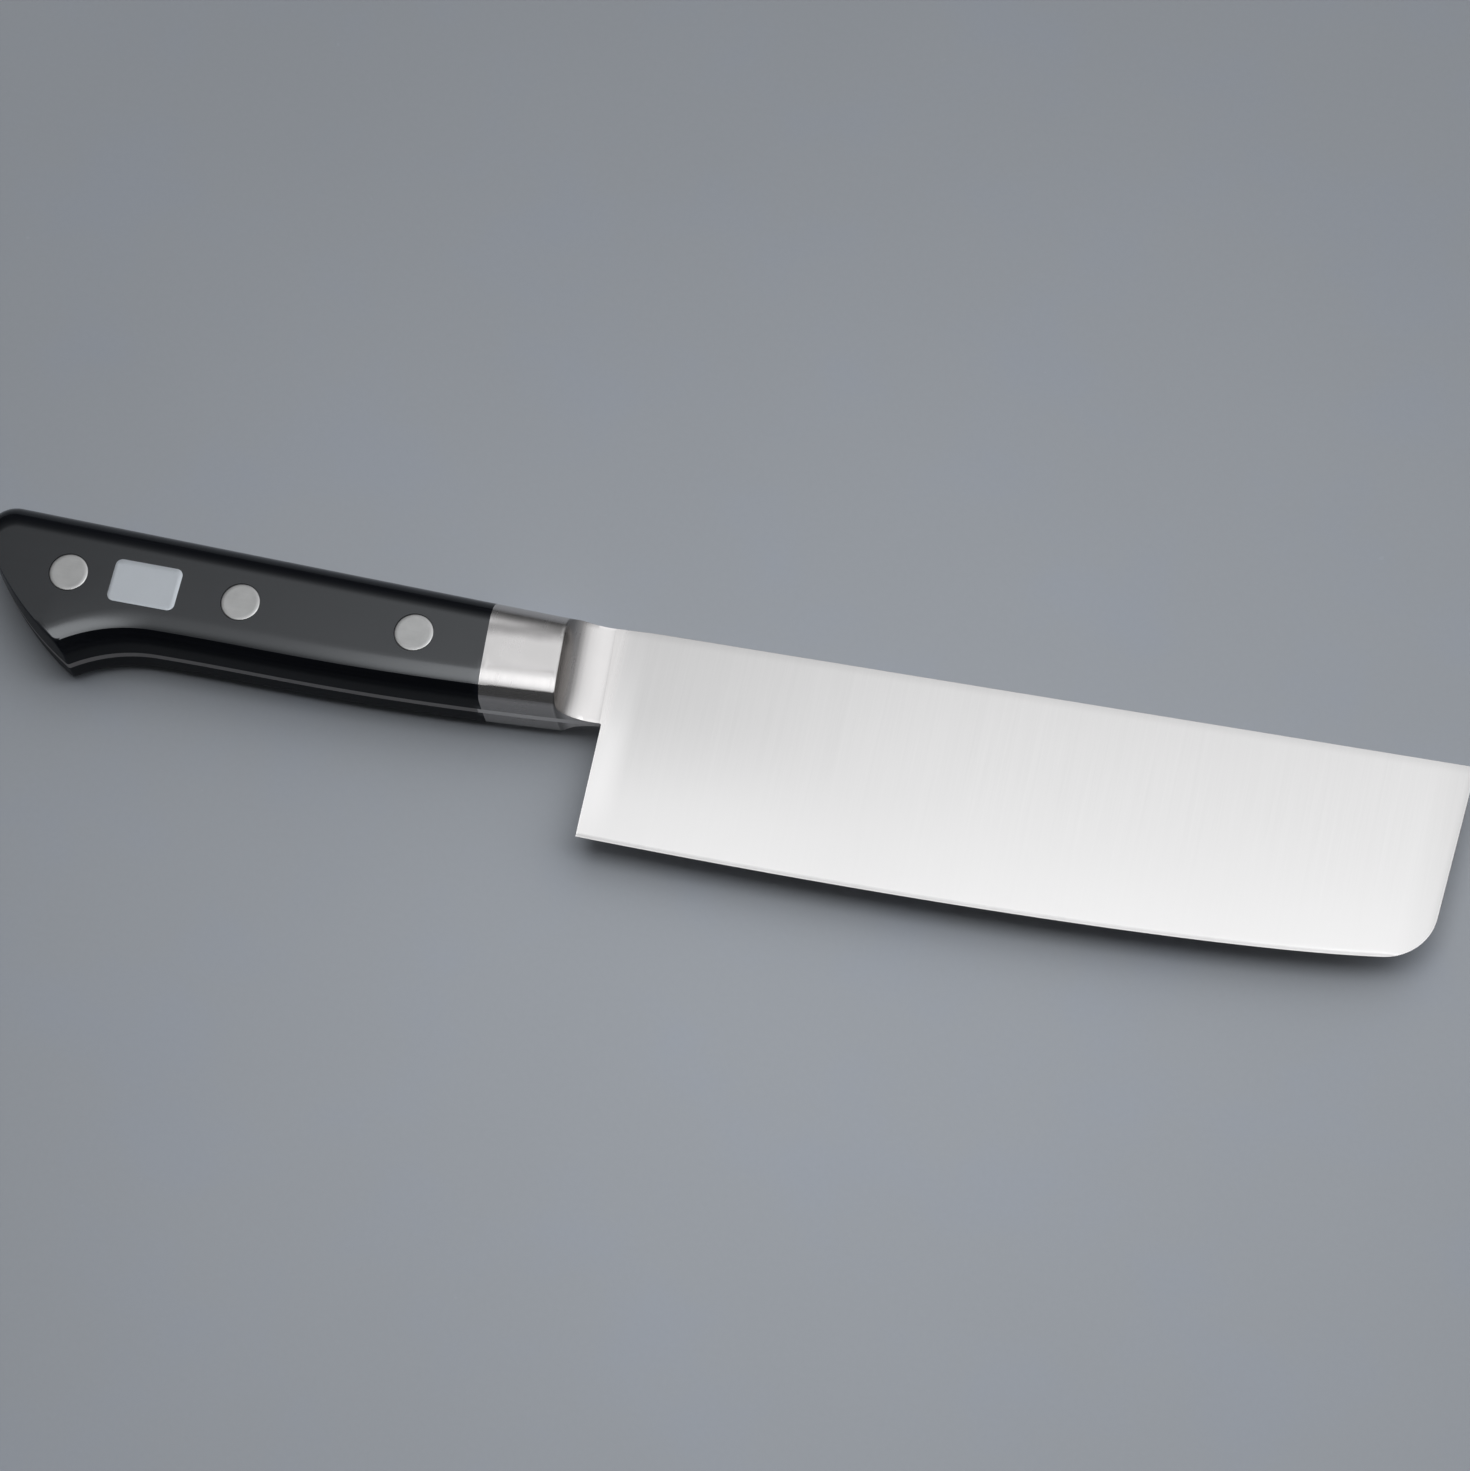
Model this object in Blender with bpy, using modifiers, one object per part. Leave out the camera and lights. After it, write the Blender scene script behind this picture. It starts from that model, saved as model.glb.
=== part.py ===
"""Nakiri knife: a square-fronted vegetable knife with a full tang, a welded bolster and two riveted scales.

Lengths are in metres. The knife is drawn in its own frame, +X from the heel to the front of the blade,
+Y from the edge to the spine and +Z out of the right face, with the heel of the edge at the origin and
the middle of the plate at z = 0. It then lies on its left face, with the middle of its box over the origin.
"""
import math

import bmesh
import bpy
import numpy as np
from mathutils import Matrix, Vector
from mathutils import geometry

# Blade
BLADE_LENGTH = 0.1650
BLADE_HEIGHT = 0.0431
FRONT_LEAN = math.radians(3.6)
FRONT_CORNER_RADIUS = 0.0004
TIP_CORNER_RADIUS = 0.0100
EDGE_RISE_AT_TIP = 0.0030
EDGE_SLOPE_AT_TIP = math.radians(8.0)
EDGE_REACH_AT_TIP = 0.0250
EDGE_REACH_AT_HEEL = 0.0700
EDGE_SLOPE_AT_HEEL = math.radians(-1.7)
NOTCH_RADIUS = 0.0008

# Grind of the blade
PLATE_THICKNESS = 0.0018
SPINE_THICKNESS_AT_FRONT = 0.00140
EDGE_BEVEL_HEIGHT = 0.0007
EDGE_BEVEL_THICKNESS = 0.00030
GRIND_CONVEXITY = 1.8
GRIND_ALLOWANCE = 0.00003
GRIND_START = -0.0017
GRIND_RUNOUT = 0.0077
GRIND_FADE_AT_HEEL = 0.0060

# Neck and bolster
NECK_DEPTH = 0.0200
NECK_BLEND_BACK = 0.0120
NECK_BLEND_FRONT = 0.0090
BOLSTER_LENGTH = 0.0240
BOLSTER_LEAN = math.radians(3.0)
SCOOP_RADIUS = 0.0084
SCOOP_SETBACK = 0.0008

# Handle
HANDLE_THICKNESS = 0.0180
HANDLE_RISE_AT_BUTT = 0.00375
BUTT_CORNER_BEHIND_JOINT = 0.0974
BUTT_CORNER_RADIUS = 0.0057
BUTT_WALL_RADIUS = 0.0620
BUTT_WALL_SLOPE = math.radians(31.0)
BEAK_BEHIND_JOINT = 0.08107
BEAK_RADIUS = 0.0006
HOOK_BEHIND_JOINT = 0.0645
HOOK_DEPTH = 0.0210
HOOK_RADIUS = 0.0300
BELLY_REACH_AT_NECK = 0.0500
BELLY_SLOPE_AT_NECK = math.radians(3.4)
BELLY_REACH_AT_HOOK = 0.0250

# Rounding of the handle, from its outline to its flat faces
TOP_INSET = 0.0070
BELLY_INSET = 0.0020
WALL_INSET = 0.0006
FACE_CORNER_RADIUS = 0.0040
FACE_BEAK_RADIUS = 0.0012

# Rivets
RIVET_HEAD_RADIUS = 0.00379
RIVET_HEAD_THICKNESS = 0.0020
RIVET_SHANK_RADIUS = 0.0025
RIVET_BORE_RADIUS = 0.0016
RIVET_BORE_FLOOR = 0.0020
RIVET_SHANK_CLEARANCE = 0.0020
RIVET_PIN_CLEARANCE = 0.0010
RIVET_PITCH = 0.03465
RIVET_FRONT_BEHIND_JOINT = 0.0141
RIVET_FRONT_DEPTH = 0.0109
RIVET_LINE_SLOPE = math.radians(0.65)
RIVET_NAMES = ("front", "middle", "rear")

# Label on the right scale
LABEL_LENGTH = 0.0135
LABEL_WIDTH = 0.0088
LABEL_THICKNESS = 0.00010
LABEL_CORNER_RADIUS = 0.0014
LABEL_BEHIND_JOINT = 0.06795
LABEL_DEPTH = 0.0102
LABEL_TURN = math.radians(-1.1)

# Clearances
BOND_GAP = 0.00005
RIVET_GAP = 0.00010

# Facets
ARC_STEPS = 8
BEAK_STEPS = 4
CURVE_STEPS = 18
CROWN_STEPS = 7
RAIL_STEPS = 60
RIVET_STEPS = 32
SCOOP_STEPS = 72
RUNOUT_STEPS = 5
GRIND_STATIONS = 22
SMOOTH_ANGLE = math.radians(30)
MERGE_DISTANCE = 1e-7
CUT_TOLERANCE = 1e-8
TURN_MERGE_DISTANCE = 1e-6

# Rows of the grinding cutter, as shares of the blade's height
GRIND_ROWS = (0.06, 0.14, 0.26, 0.40, 0.54, 0.66, 0.79, 0.93)

# Room left for cutters to pass right through
EDGE_STOCK = 0.0020
TIP_STOCK = 0.00005
TIP_STOCK_REACH = 0.0200
CUTTER_MARGIN = 0.0030

JOINT_X = -BOLSTER_LENGTH
NECK_Y = BLADE_HEIGHT - NECK_DEPTH
HALF_PLATE = PLATE_THICKNESS / 2
HALF_HANDLE = HANDLE_THICKNESS / 2
HALF_BEVEL = EDGE_BEVEL_THICKNESS / 2
INNER_FACE = HALF_PLATE + BOND_GAP
TOP_SLOPE = -HANDLE_RISE_AT_BUTT / BUTT_CORNER_BEHIND_JOINT
TOP_ANGLE = math.atan(TOP_SLOPE)
LEAN_AXIS = Vector((-math.sin(BOLSTER_LEAN), math.cos(BOLSTER_LEAN), 0.0))
JOINT_POINT = Vector((JOINT_X, BLADE_HEIGHT - NECK_DEPTH / 2, 0.0))
JOINT_NORMAL = Vector((math.cos(BOLSTER_LEAN), math.sin(BOLSTER_LEAN), 0.0))


def direction(angle):
    """Unit vector at an angle from +X."""
    return Vector((math.cos(angle), math.sin(angle)))


def bearing(vector):
    """Angle of a flat vector from +X."""
    return math.atan2(vector.y, vector.x)


def lerp(a, b, share):
    """Value that lies a given share of the way from a to b."""
    return a + (b - a) * share


def smooth_step(value):
    """Ease from 0 to 1 while value goes from 0 to 1."""
    value = min(max(value, 0.0), 1.0)
    return value * value * (3.0 - 2.0 * value)


def arc(centre, radius, start, end, steps):
    """Points of an arc from angle start to angle end, without the last one."""
    return [centre + radius * direction(lerp(start, end, i / steps)) for i in range(steps)]


def cubic(start, start_handle, end_handle, end, steps):
    """Points of a cubic curve, without the last one."""
    return geometry.interpolate_bezier(start, start_handle, end_handle, end, steps + 1)[:-1]


def round_corner(before, corner, after, radius, steps):
    """Points of the arc that rounds a corner between two straight sides, both ends included."""
    back = (before - corner).normalized()
    ahead = (after - corner).normalized()
    half = back.angle(ahead) / 2
    centre = corner + (back + ahead).normalized() * radius / math.sin(half)
    start = corner + back * radius / math.tan(half) - centre
    end = corner + ahead * radius / math.tan(half) - centre
    turn = (bearing(end) - bearing(start) + math.pi) % math.tau - math.pi
    points = arc(centre, radius, bearing(start), bearing(start) + turn, steps)
    return points + [centre + end]


def top_y(x):
    """Height of the handle's upper line."""
    return BLADE_HEIGHT + TOP_SLOPE * (x - JOINT_X)


def grip_outline(top, belly, wall, corner_radius, beak_radius):
    """Outline from the notch along the belly, round the butt and back along the top, moved inwards."""
    notch = Vector((0.0, NECK_Y + belly))
    hook_centre = Vector((JOINT_X - HOOK_BEHIND_JOINT, BLADE_HEIGHT - HOOK_DEPTH - HOOK_RADIUS))
    hook_radius = HOOK_RADIUS + belly
    hook_top = hook_centre + Vector((0.0, hook_radius))
    notch_handle = notch - BELLY_REACH_AT_NECK * direction(BELLY_SLOPE_AT_NECK)
    hook_handle = hook_top + Vector((BELLY_REACH_AT_HOOK, 0.0))
    points = cubic(notch, notch_handle, hook_handle, hook_top, CURVE_STEPS)

    run = HOOK_BEHIND_JOINT - BEAK_BEHIND_JOINT
    beak = hook_centre + Vector((run, math.sqrt(HOOK_RADIUS ** 2 - run ** 2)))
    wall_centre = beak + BUTT_WALL_RADIUS * direction(math.pi / 2 - BUTT_WALL_SLOPE)
    wall_radius = BUTT_WALL_RADIUS - wall
    crossings = geometry.intersect_sphere_sphere_2d(
        hook_centre, hook_radius + beak_radius, wall_centre, wall_radius - beak_radius)
    beak_centre = min(crossings, key=lambda point: (point - beak).length)
    to_beak = bearing(beak_centre - hook_centre)
    wall_start = bearing(beak_centre - wall_centre)
    points += arc(hook_centre, hook_radius, math.pi / 2, to_beak, ARC_STEPS)
    points += arc(beak_centre, beak_radius, to_beak - math.pi, wall_start, BEAK_STEPS)

    drop = top + corner_radius / math.cos(TOP_ANGLE)
    rear = Vector((wall_centre.x - BUTT_WALL_RADIUS, 0.0))
    rear.y = top_y(rear.x) - drop
    front = Vector((JOINT_X, top_y(JOINT_X) - drop))
    crossings = geometry.intersect_line_sphere_2d(rear, front, wall_centre, wall_radius - corner_radius)
    corner_centre = min((point for point in crossings if point), key=lambda point: point.x)
    wall_end = bearing(corner_centre - wall_centre)
    corner_end = TOP_ANGLE - 1.5 * math.pi
    points += arc(wall_centre, wall_radius, wall_start, wall_end, ARC_STEPS)
    points += arc(corner_centre, corner_radius, wall_end, corner_end, ARC_STEPS)
    points.append(corner_centre + corner_radius * direction(corner_end))

    blend_start = Vector((-NECK_BLEND_BACK, top_y(-NECK_BLEND_BACK) - top))
    blend_end = Vector((NECK_BLEND_FRONT, BLADE_HEIGHT - top))
    start_handle = blend_start + NECK_BLEND_FRONT * direction(TOP_ANGLE)
    end_handle = blend_end - Vector((NECK_BLEND_FRONT, 0.0))
    points += cubic(blend_start, start_handle, end_handle, blend_end, ARC_STEPS)
    points.append(blend_end)
    return points


def front_x(y):
    """Position of the blade's front line at a height."""
    return BLADE_LENGTH - (BLADE_HEIGHT - y) * math.tan(FRONT_LEAN)


def tip_centre(drop):
    """Centre of the lower front corner, lowered by a small drop."""
    y = EDGE_RISE_AT_TIP + TIP_CORNER_RADIUS * math.cos(EDGE_SLOPE_AT_TIP) - drop
    return Vector((front_x(y) - TIP_CORNER_RADIUS / math.cos(FRONT_LEAN), y))


def edge_rail():
    """Points of the cutting edge, carried on straight past the heel and past the tip."""
    heel = Vector((0.0, 0.0))
    tip = tip_centre(0.0) + TIP_CORNER_RADIUS * direction(EDGE_SLOPE_AT_TIP - math.pi / 2)
    heel_handle = heel + EDGE_REACH_AT_HEEL * direction(EDGE_SLOPE_AT_HEEL)
    tip_handle = tip - EDGE_REACH_AT_TIP * direction(EDGE_SLOPE_AT_TIP)
    points = cubic(heel, heel_handle, tip_handle, tip, RAIL_STEPS)
    before = heel - EDGE_REACH_AT_TIP * direction(EDGE_SLOPE_AT_HEEL)
    beyond = tip + EDGE_REACH_AT_TIP * direction(EDGE_SLOPE_AT_TIP)
    return [before] + points + [tip, beyond]


def plate_outline():
    """Outline of the forged blank, blade and tang in one, with stock left below the cutting edge."""
    grip = grip_outline(0.0, 0.0, 0.0, BUTT_CORNER_RADIUS, BEAK_RADIUS)
    centre = tip_centre(TIP_STOCK)
    tip_end = EDGE_SLOPE_AT_TIP - math.pi / 2
    front_corner = Vector((BLADE_LENGTH, BLADE_HEIGHT))
    front_foot = centre + TIP_CORNER_RADIUS * direction(-FRONT_LEAN)
    points = grip[1:]
    points += round_corner(grip[-1], front_corner, front_foot, FRONT_CORNER_RADIUS, BEAK_STEPS)
    points += arc(centre, TIP_CORNER_RADIUS, -FRONT_LEAN, tip_end, ARC_STEPS + BEAK_STEPS)
    points.append(centre + TIP_CORNER_RADIUS * direction(tip_end))
    points.append(Vector((centre.x - TIP_STOCK_REACH, -EDGE_STOCK)))
    points.append(Vector((0.0, -EDGE_STOCK)))
    points += round_corner(points[-1], grip[0], grip[1], NOTCH_RADIUS, BEAK_STEPS)
    return points


def ground_half_thickness(x, y, rise):
    """Half thickness of the ground blade, a given rise above the edge."""
    if rise <= EDGE_BEVEL_HEIGHT:
        return HALF_BEVEL * rise / EDGE_BEVEL_HEIGHT
    along = min(max(x / BLADE_LENGTH, 0.0), 1.0)
    spine = lerp(HALF_PLATE - GRIND_ALLOWANCE, SPINE_THICKNESS_AT_FRONT / 2, along)
    share = (rise - EDGE_BEVEL_HEIGHT) / (BLADE_HEIGHT - EDGE_BEVEL_HEIGHT)
    fall = max(1.0 - share, 0.0) ** GRIND_CONVEXITY
    ground = lerp(spine, HALF_BEVEL, fall)
    runout = smooth_step((x - GRIND_START) / GRIND_RUNOUT)
    below_neck = smooth_step((NECK_Y - y) / GRIND_FADE_AT_HEEL)
    return lerp(INNER_FACE, ground, lerp(runout, 1.0, below_neck))


def object_from_mesh(name, mesh, collection, root):
    """Object of a mesh, in a collection and carried by the root."""
    thing = bpy.data.objects.new(name, mesh)
    thing.parent = root
    collection.objects.link(thing)
    return thing


def mesh_from_bmesh(name, bm):
    """Mesh of a closed bmesh with its faces turned outwards and its round stretches smooth."""
    bmesh.ops.recalc_face_normals(bm, faces=bm.faces[:])
    mesh = bpy.data.meshes.new(name)
    bm.to_mesh(mesh)
    bm.free()
    mesh.shade_smooth()
    mesh.set_sharp_from_angle(angle=SMOOTH_ANGLE)
    return mesh


def flat_mesh(name, points, half_thickness):
    """Mesh of a flat outline given a thickness."""
    curve = bpy.data.curves.new(name, "CURVE")
    curve.dimensions = "2D"
    curve.fill_mode = "BOTH"
    curve.extrude = half_thickness
    spline = curve.splines.new("POLY")
    spline.points.add(len(points) - 1)
    for spline_point, point in zip(spline.points, points):
        spline_point.co = (point.x, point.y, 0.0, 1.0)
    spline.use_cyclic_u = True
    holder = bpy.data.objects.new(name, curve)
    bpy.context.scene.collection.objects.link(holder)
    bm = bmesh.new()
    drawn = bpy.data.meshes.new_from_object(holder)
    bm.from_mesh(drawn)
    bmesh.ops.remove_doubles(bm, verts=bm.verts[:], dist=MERGE_DISTANCE)
    bpy.data.objects.remove(holder)
    bpy.data.curves.remove(curve)
    bpy.data.meshes.remove(drawn)
    return mesh_from_bmesh(name, bm)


def half_grip_bmesh():
    """Right half of the whole grip, lofted from the tang's outline to the flat face."""
    outer = grip_outline(0.0, 0.0, 0.0, BUTT_CORNER_RADIUS, BEAK_RADIUS)
    inner = grip_outline(TOP_INSET, BELLY_INSET, WALL_INSET, FACE_CORNER_RADIUS, FACE_BEAK_RADIUS)
    bm = bmesh.new()
    loops = []
    for step in range(CROWN_STEPS + 1):
        angle = math.pi / 2 * step / CROWN_STEPS
        z = lerp(INNER_FACE, HALF_HANDLE, math.sin(angle))
        level = [a.lerp(b, 1.0 - math.cos(angle)) for a, b in zip(outer, inner)]
        loops.append([bm.verts.new((point.x, point.y, z)) for point in level])
    for lower, upper in zip(loops, loops[1:]):
        for i in range(len(lower)):
            bm.faces.new((lower[i - 1], lower[i], upper[i], upper[i - 1]))
    bm.faces.new(loops[0])
    bm.faces.new(loops[-1])
    return bm


def trim(bm, point, normal):
    """Cut away what lies on the side a plane's normal points to, and close the cut."""
    parts = bm.verts[:] + bm.edges[:] + bm.faces[:]
    bmesh.ops.bisect_plane(
        bm, geom=parts, dist=CUT_TOLERANCE, plane_co=point, plane_no=normal, clear_outer=True)
    rim = [edge for edge in bm.edges if edge.is_boundary]
    bmesh.ops.holes_fill(bm, edges=rim)


def mirrored(mesh, name):
    """Copy of a mesh on the other side of the plate."""
    copy = mesh.copy()
    copy.name = name
    copy.transform(Matrix.Diagonal((1.0, 1.0, -1.0, 1.0)))
    copy.flip_normals()
    return copy


def grind_mesh():
    """Body of the grinding cutter for the right side, its lower face the ground surface."""
    rail = edge_rail()
    rail_x = [point.x for point in rail]
    rail_y = [point.y for point in rail]
    runout_end = GRIND_START + GRIND_RUNOUT
    beyond = BLADE_LENGTH + CUTTER_MARGIN
    runout = np.linspace(GRIND_START, runout_end, RUNOUT_STEPS, endpoint=False)
    stations = [float(x) for x in (*runout, *np.linspace(runout_end, beyond, GRIND_STATIONS))]
    above = BLADE_HEIGHT + CUTTER_MARGIN + EDGE_STOCK
    below = -EDGE_STOCK - EDGE_RISE_AT_TIP
    rises = [below, EDGE_BEVEL_HEIGHT] + [BLADE_HEIGHT * share for share in GRIND_ROWS] + [above]
    bm = bmesh.new()
    bmesh.ops.create_grid(bm, x_segments=len(stations) - 1, y_segments=len(rises) - 1, size=1.0)
    places = [(x, rise) for rise in rises for x in stations]
    for vert, (x, rise) in zip(bm.verts, places):
        y = float(np.interp(x, rail_x, rail_y)) + rise
        vert.co = (x, y, ground_half_thickness(x, y, rise))
    bmesh.ops.triangulate(bm, faces=bm.faces[:])
    top = bmesh.ops.extrude_face_region(bm, geom=bm.faces[:])
    for item in top["geom"]:
        if isinstance(item, bmesh.types.BMVert):
            item.co.z = CUTTER_MARGIN
    return mesh_from_bmesh("grind", bm)


def turned_mesh(name, profile, steps):
    """Mesh of a profile of (radius, height) points turned about the Z axis with the Screw tool."""
    mesh = bpy.data.meshes.new(name)
    verts = [(radius, 0.0, height) for radius, height in profile]
    edges = [(i, i + 1) for i in range(len(profile) - 1)]
    mesh.from_pydata(verts, edges, [])
    holder = bpy.data.objects.new(name, mesh)
    bpy.context.scene.collection.objects.link(holder)
    screw = holder.modifiers.new("turn", "SCREW")
    screw.steps = steps
    screw.render_steps = steps
    screw.use_merge_vertices = True
    screw.merge_threshold = TURN_MERGE_DISTANCE
    finished = holder.evaluated_get(bpy.context.evaluated_depsgraph_get())
    turned = bpy.data.meshes.new_from_object(finished)
    bm = bmesh.new()
    bm.from_mesh(turned)
    bpy.data.objects.remove(holder)
    bpy.data.meshes.remove(mesh)
    bpy.data.meshes.remove(turned)
    return mesh_from_bmesh(name, bm)


def socket_profile():
    """Hollow rivet half, from the middle of its head down the outside and back up the bore."""
    head_inner = HALF_HANDLE - RIVET_HEAD_THICKNESS
    shank_end = RIVET_SHANK_CLEARANCE - head_inner
    bore_top = head_inner - RIVET_BORE_FLOOR
    return [
        (0.0, HALF_HANDLE),
        (RIVET_HEAD_RADIUS, HALF_HANDLE),
        (RIVET_HEAD_RADIUS, head_inner),
        (RIVET_SHANK_RADIUS, head_inner),
        (RIVET_SHANK_RADIUS, shank_end),
        (RIVET_BORE_RADIUS, shank_end),
        (RIVET_BORE_RADIUS, bore_top),
        (0.0, bore_top),
    ]


def pin_profile():
    """Solid rivet half, drawn head up; its pin stops short of the bore's floor."""
    head_inner = HALF_HANDLE - RIVET_HEAD_THICKNESS
    pin_radius = RIVET_BORE_RADIUS - RIVET_GAP
    pin_end = RIVET_BORE_FLOOR + RIVET_PIN_CLEARANCE - head_inner
    return [
        (0.0, HALF_HANDLE),
        (RIVET_HEAD_RADIUS, HALF_HANDLE),
        (RIVET_HEAD_RADIUS, head_inner),
        (pin_radius, head_inner),
        (pin_radius, pin_end),
        (0.0, pin_end),
    ]


def rivet_hole_profile():
    """Hole through scales and tang for one rivet, counterbored at both ends."""
    top = HALF_HANDLE + CUTTER_MARGIN
    floor = HALF_HANDLE - RIVET_HEAD_THICKNESS - BOND_GAP
    head = RIVET_HEAD_RADIUS + RIVET_GAP
    shank = RIVET_SHANK_RADIUS + RIVET_GAP
    return [
        (0.0, top),
        (head, top),
        (head, floor),
        (shank, floor),
        (shank, -floor),
        (head, -floor),
        (head, -top),
        (0.0, -top),
    ]


def label_outline():
    """Rounded rectangle of the label, about its own middle."""
    x = LABEL_LENGTH / 2
    y = LABEL_WIDTH / 2
    corners = [Vector((x, y)), Vector((-x, y)), Vector((-x, -y)), Vector((x, -y))]
    points = []
    for i in range(4):
        before = corners[i - 1]
        after = corners[(i + 1) % 4]
        points += round_corner(before, corners[i], after, LABEL_CORNER_RADIUS, BEAK_STEPS)
    return points


def material(name, colour, metallic, roughness):
    """Principled material of one piece."""
    made = bpy.data.materials.new(name)
    made.use_nodes = True
    shader = made.node_tree.nodes["Principled BSDF"]
    shader.inputs["Base Color"].default_value = (*colour, 1.0)
    shader.inputs["Metallic"].default_value = metallic
    shader.inputs["Roughness"].default_value = roughness
    made.diffuse_color = (*colour, 1.0)
    return made


def cut(piece, cutter):
    """Take a cutter's body out of a piece."""
    boolean = piece.modifiers.new(cutter.name, "BOOLEAN")
    boolean.operation = "DIFFERENCE"
    boolean.solver = "EXACT"
    boolean.object = cutter


def place_cutter(name, mesh, collection, root, location):
    """Cutter at a place, drawn as wire only."""
    cutter = object_from_mesh(name, mesh, collection, root)
    cutter.location = location
    cutter.hide_render = True
    cutter.display_type = "WIRE"
    return cutter


def make_hole_cutters(cutters, root):
    """One stepped cutter on each rivet's axis, front to rear."""
    mesh = turned_mesh("rivet_hole", rivet_hole_profile(), RIVET_STEPS)
    made = []
    for place, name in zip(rivet_places(), RIVET_NAMES):
        made.append(place_cutter(f"hole_{name}", mesh, cutters, root, place))
    return made


def rivet_places():
    """Middles of the three rivets."""
    front = Vector((JOINT_X - RIVET_FRONT_BEHIND_JOINT, BLADE_HEIGHT - RIVET_FRONT_DEPTH, 0.0))
    step = RIVET_PITCH * Vector((-math.cos(RIVET_LINE_SLOPE), math.sin(RIVET_LINE_SLOPE), 0.0))
    return [front + step * i for i in range(len(RIVET_NAMES))]


def make_blade(pieces, cutters, root, holes):
    """Plate with its blade ground from both sides and its tang drilled for the rivets."""
    plate = flat_mesh("blade_and_tang", plate_outline(), HALF_PLATE)
    plate.materials.append(material("blade_steel", (0.62, 0.62, 0.62), 1.0, 0.30))
    blade = object_from_mesh("blade_and_tang", plate, pieces, root)
    right = grind_mesh()
    left = mirrored(right, "grind_left")
    origin = Vector((0.0, 0.0, 0.0))
    for hole in holes:
        cut(blade, hole)
    cut(blade, place_cutter("grind_right", right, cutters, root, origin))
    cut(blade, place_cutter("grind_left", left, cutters, root, origin))
    return blade


def make_bolster(pieces, cutters, root):
    """Two cheeks on the tang, each scooped out towards the blade."""
    bm = half_grip_bmesh()
    trim(bm, Vector((-SCOOP_SETBACK, 0.0, 0.0)), Vector((1.0, 0.0, 0.0)))
    trim(bm, JOINT_POINT, -JOINT_NORMAL)
    right = mesh_from_bmesh("bolster_right", bm)
    left = mirrored(right, "bolster_left")
    steel = material("bolster_steel", (0.60, 0.60, 0.59), 1.0, 0.22)
    bm = bmesh.new()
    bmesh.ops.create_cone(
        bm, cap_ends=True, segments=SCOOP_STEPS, radius1=SCOOP_RADIUS, radius2=SCOOP_RADIUS,
        depth=BLADE_HEIGHT + NECK_DEPTH)
    scoop = mesh_from_bmesh("scoop", bm)
    made = []
    for name, mesh, side in (("right", right, 1.0), ("left", left, -1.0)):
        mesh.materials.append(steel)
        cheek = object_from_mesh(f"bolster_{name}", mesh, pieces, root)
        height = side * (HALF_PLATE + SCOOP_RADIUS)
        place = Vector((-SCOOP_SETBACK, JOINT_POINT.y, height))
        cutter = place_cutter(f"scoop_{name}", scoop, cutters, root, place)
        cutter.rotation_mode = "QUATERNION"
        cutter.rotation_quaternion = LEAN_AXIS.to_track_quat("Z", "Y")
        cut(cheek, cutter)
        made.append(cheek)
    return made


def make_scales(pieces, root, holes):
    """Two handle scales, rounded to the tang's outline and drilled for the rivets."""
    bm = half_grip_bmesh()
    trim(bm, JOINT_POINT - JOINT_NORMAL * BOND_GAP, JOINT_NORMAL)
    right = mesh_from_bmesh("scale_right", bm)
    left = mirrored(right, "scale_left")
    wood = material("black_laminated_wood", (0.030, 0.030, 0.031), 0.0, 0.28)
    made = []
    for name, mesh in (("scale_right", right), ("scale_left", left)):
        mesh.materials.append(wood)
        scale = object_from_mesh(name, mesh, pieces, root)
        for hole in holes:
            cut(scale, hole)
        made.append(scale)
    return made


def make_rivets(pieces, root):
    """Three cutler's rivets, each a socket from the right and a pin from the left."""
    steel = material("rivet_steel", (0.42, 0.41, 0.40), 1.0, 0.35)
    socket = turned_mesh("rivet_socket", socket_profile(), RIVET_STEPS)
    pin = turned_mesh("rivet_pin", pin_profile(), RIVET_STEPS)
    socket.materials.append(steel)
    pin.materials.append(steel)
    made = []
    for place, name in zip(rivet_places(), RIVET_NAMES):
        head = object_from_mesh(f"rivet_{name}_socket", socket, pieces, root)
        head.location = place
        tail = object_from_mesh(f"rivet_{name}_pin", pin, pieces, root)
        tail.location = place
        tail.rotation_euler = (math.pi, 0.0, 0.0)
        made += [head, tail]
    return made


def make_label(pieces, root):
    """Thin foil label stuck on the right scale's flat face."""
    mesh = flat_mesh("handle_label", label_outline(), LABEL_THICKNESS / 2)
    mesh.materials.append(material("label_foil", (0.70, 0.70, 0.70), 0.6, 0.30))
    label = object_from_mesh("handle_label", mesh, pieces, root)
    height = HALF_HANDLE + BOND_GAP + LABEL_THICKNESS / 2
    label.location = (JOINT_X - LABEL_BEHIND_JOINT, BLADE_HEIGHT - LABEL_DEPTH, height)
    label.rotation_euler = (0.0, 0.0, LABEL_TURN)
    return label


def lay_down(root):
    """Rest the knife on its left face, the middle of its box over the origin."""
    rail = edge_rail()
    grip = grip_outline(0.0, 0.0, 0.0, BUTT_CORNER_RADIUS, BEAK_RADIUS)
    x_middle = (BLADE_LENGTH + min(point.x for point in grip)) / 2
    y_middle = (min(point.y for point in rail[1:-1]) + max(point.y for point in grip)) / 2
    root.location = (-x_middle, -y_middle, HALF_HANDLE)


def main():
    """Clear the scene and build the knife."""
    for thing in list(bpy.data.objects):
        bpy.data.objects.remove(thing)
    pieces = bpy.data.collections.new("nakiri_knife")
    cutters = bpy.data.collections.new("cutters")
    bpy.context.scene.collection.children.link(pieces)
    bpy.context.scene.collection.children.link(cutters)
    root = bpy.data.objects.new("knife_frame", None)
    pieces.objects.link(root)
    lay_down(root)
    holes = make_hole_cutters(cutters, root)
    make_blade(pieces, cutters, root, holes)
    make_bolster(pieces, cutters, root)
    make_scales(pieces, root, holes)
    make_rivets(pieces, root)
    make_label(pieces, root)


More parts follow.
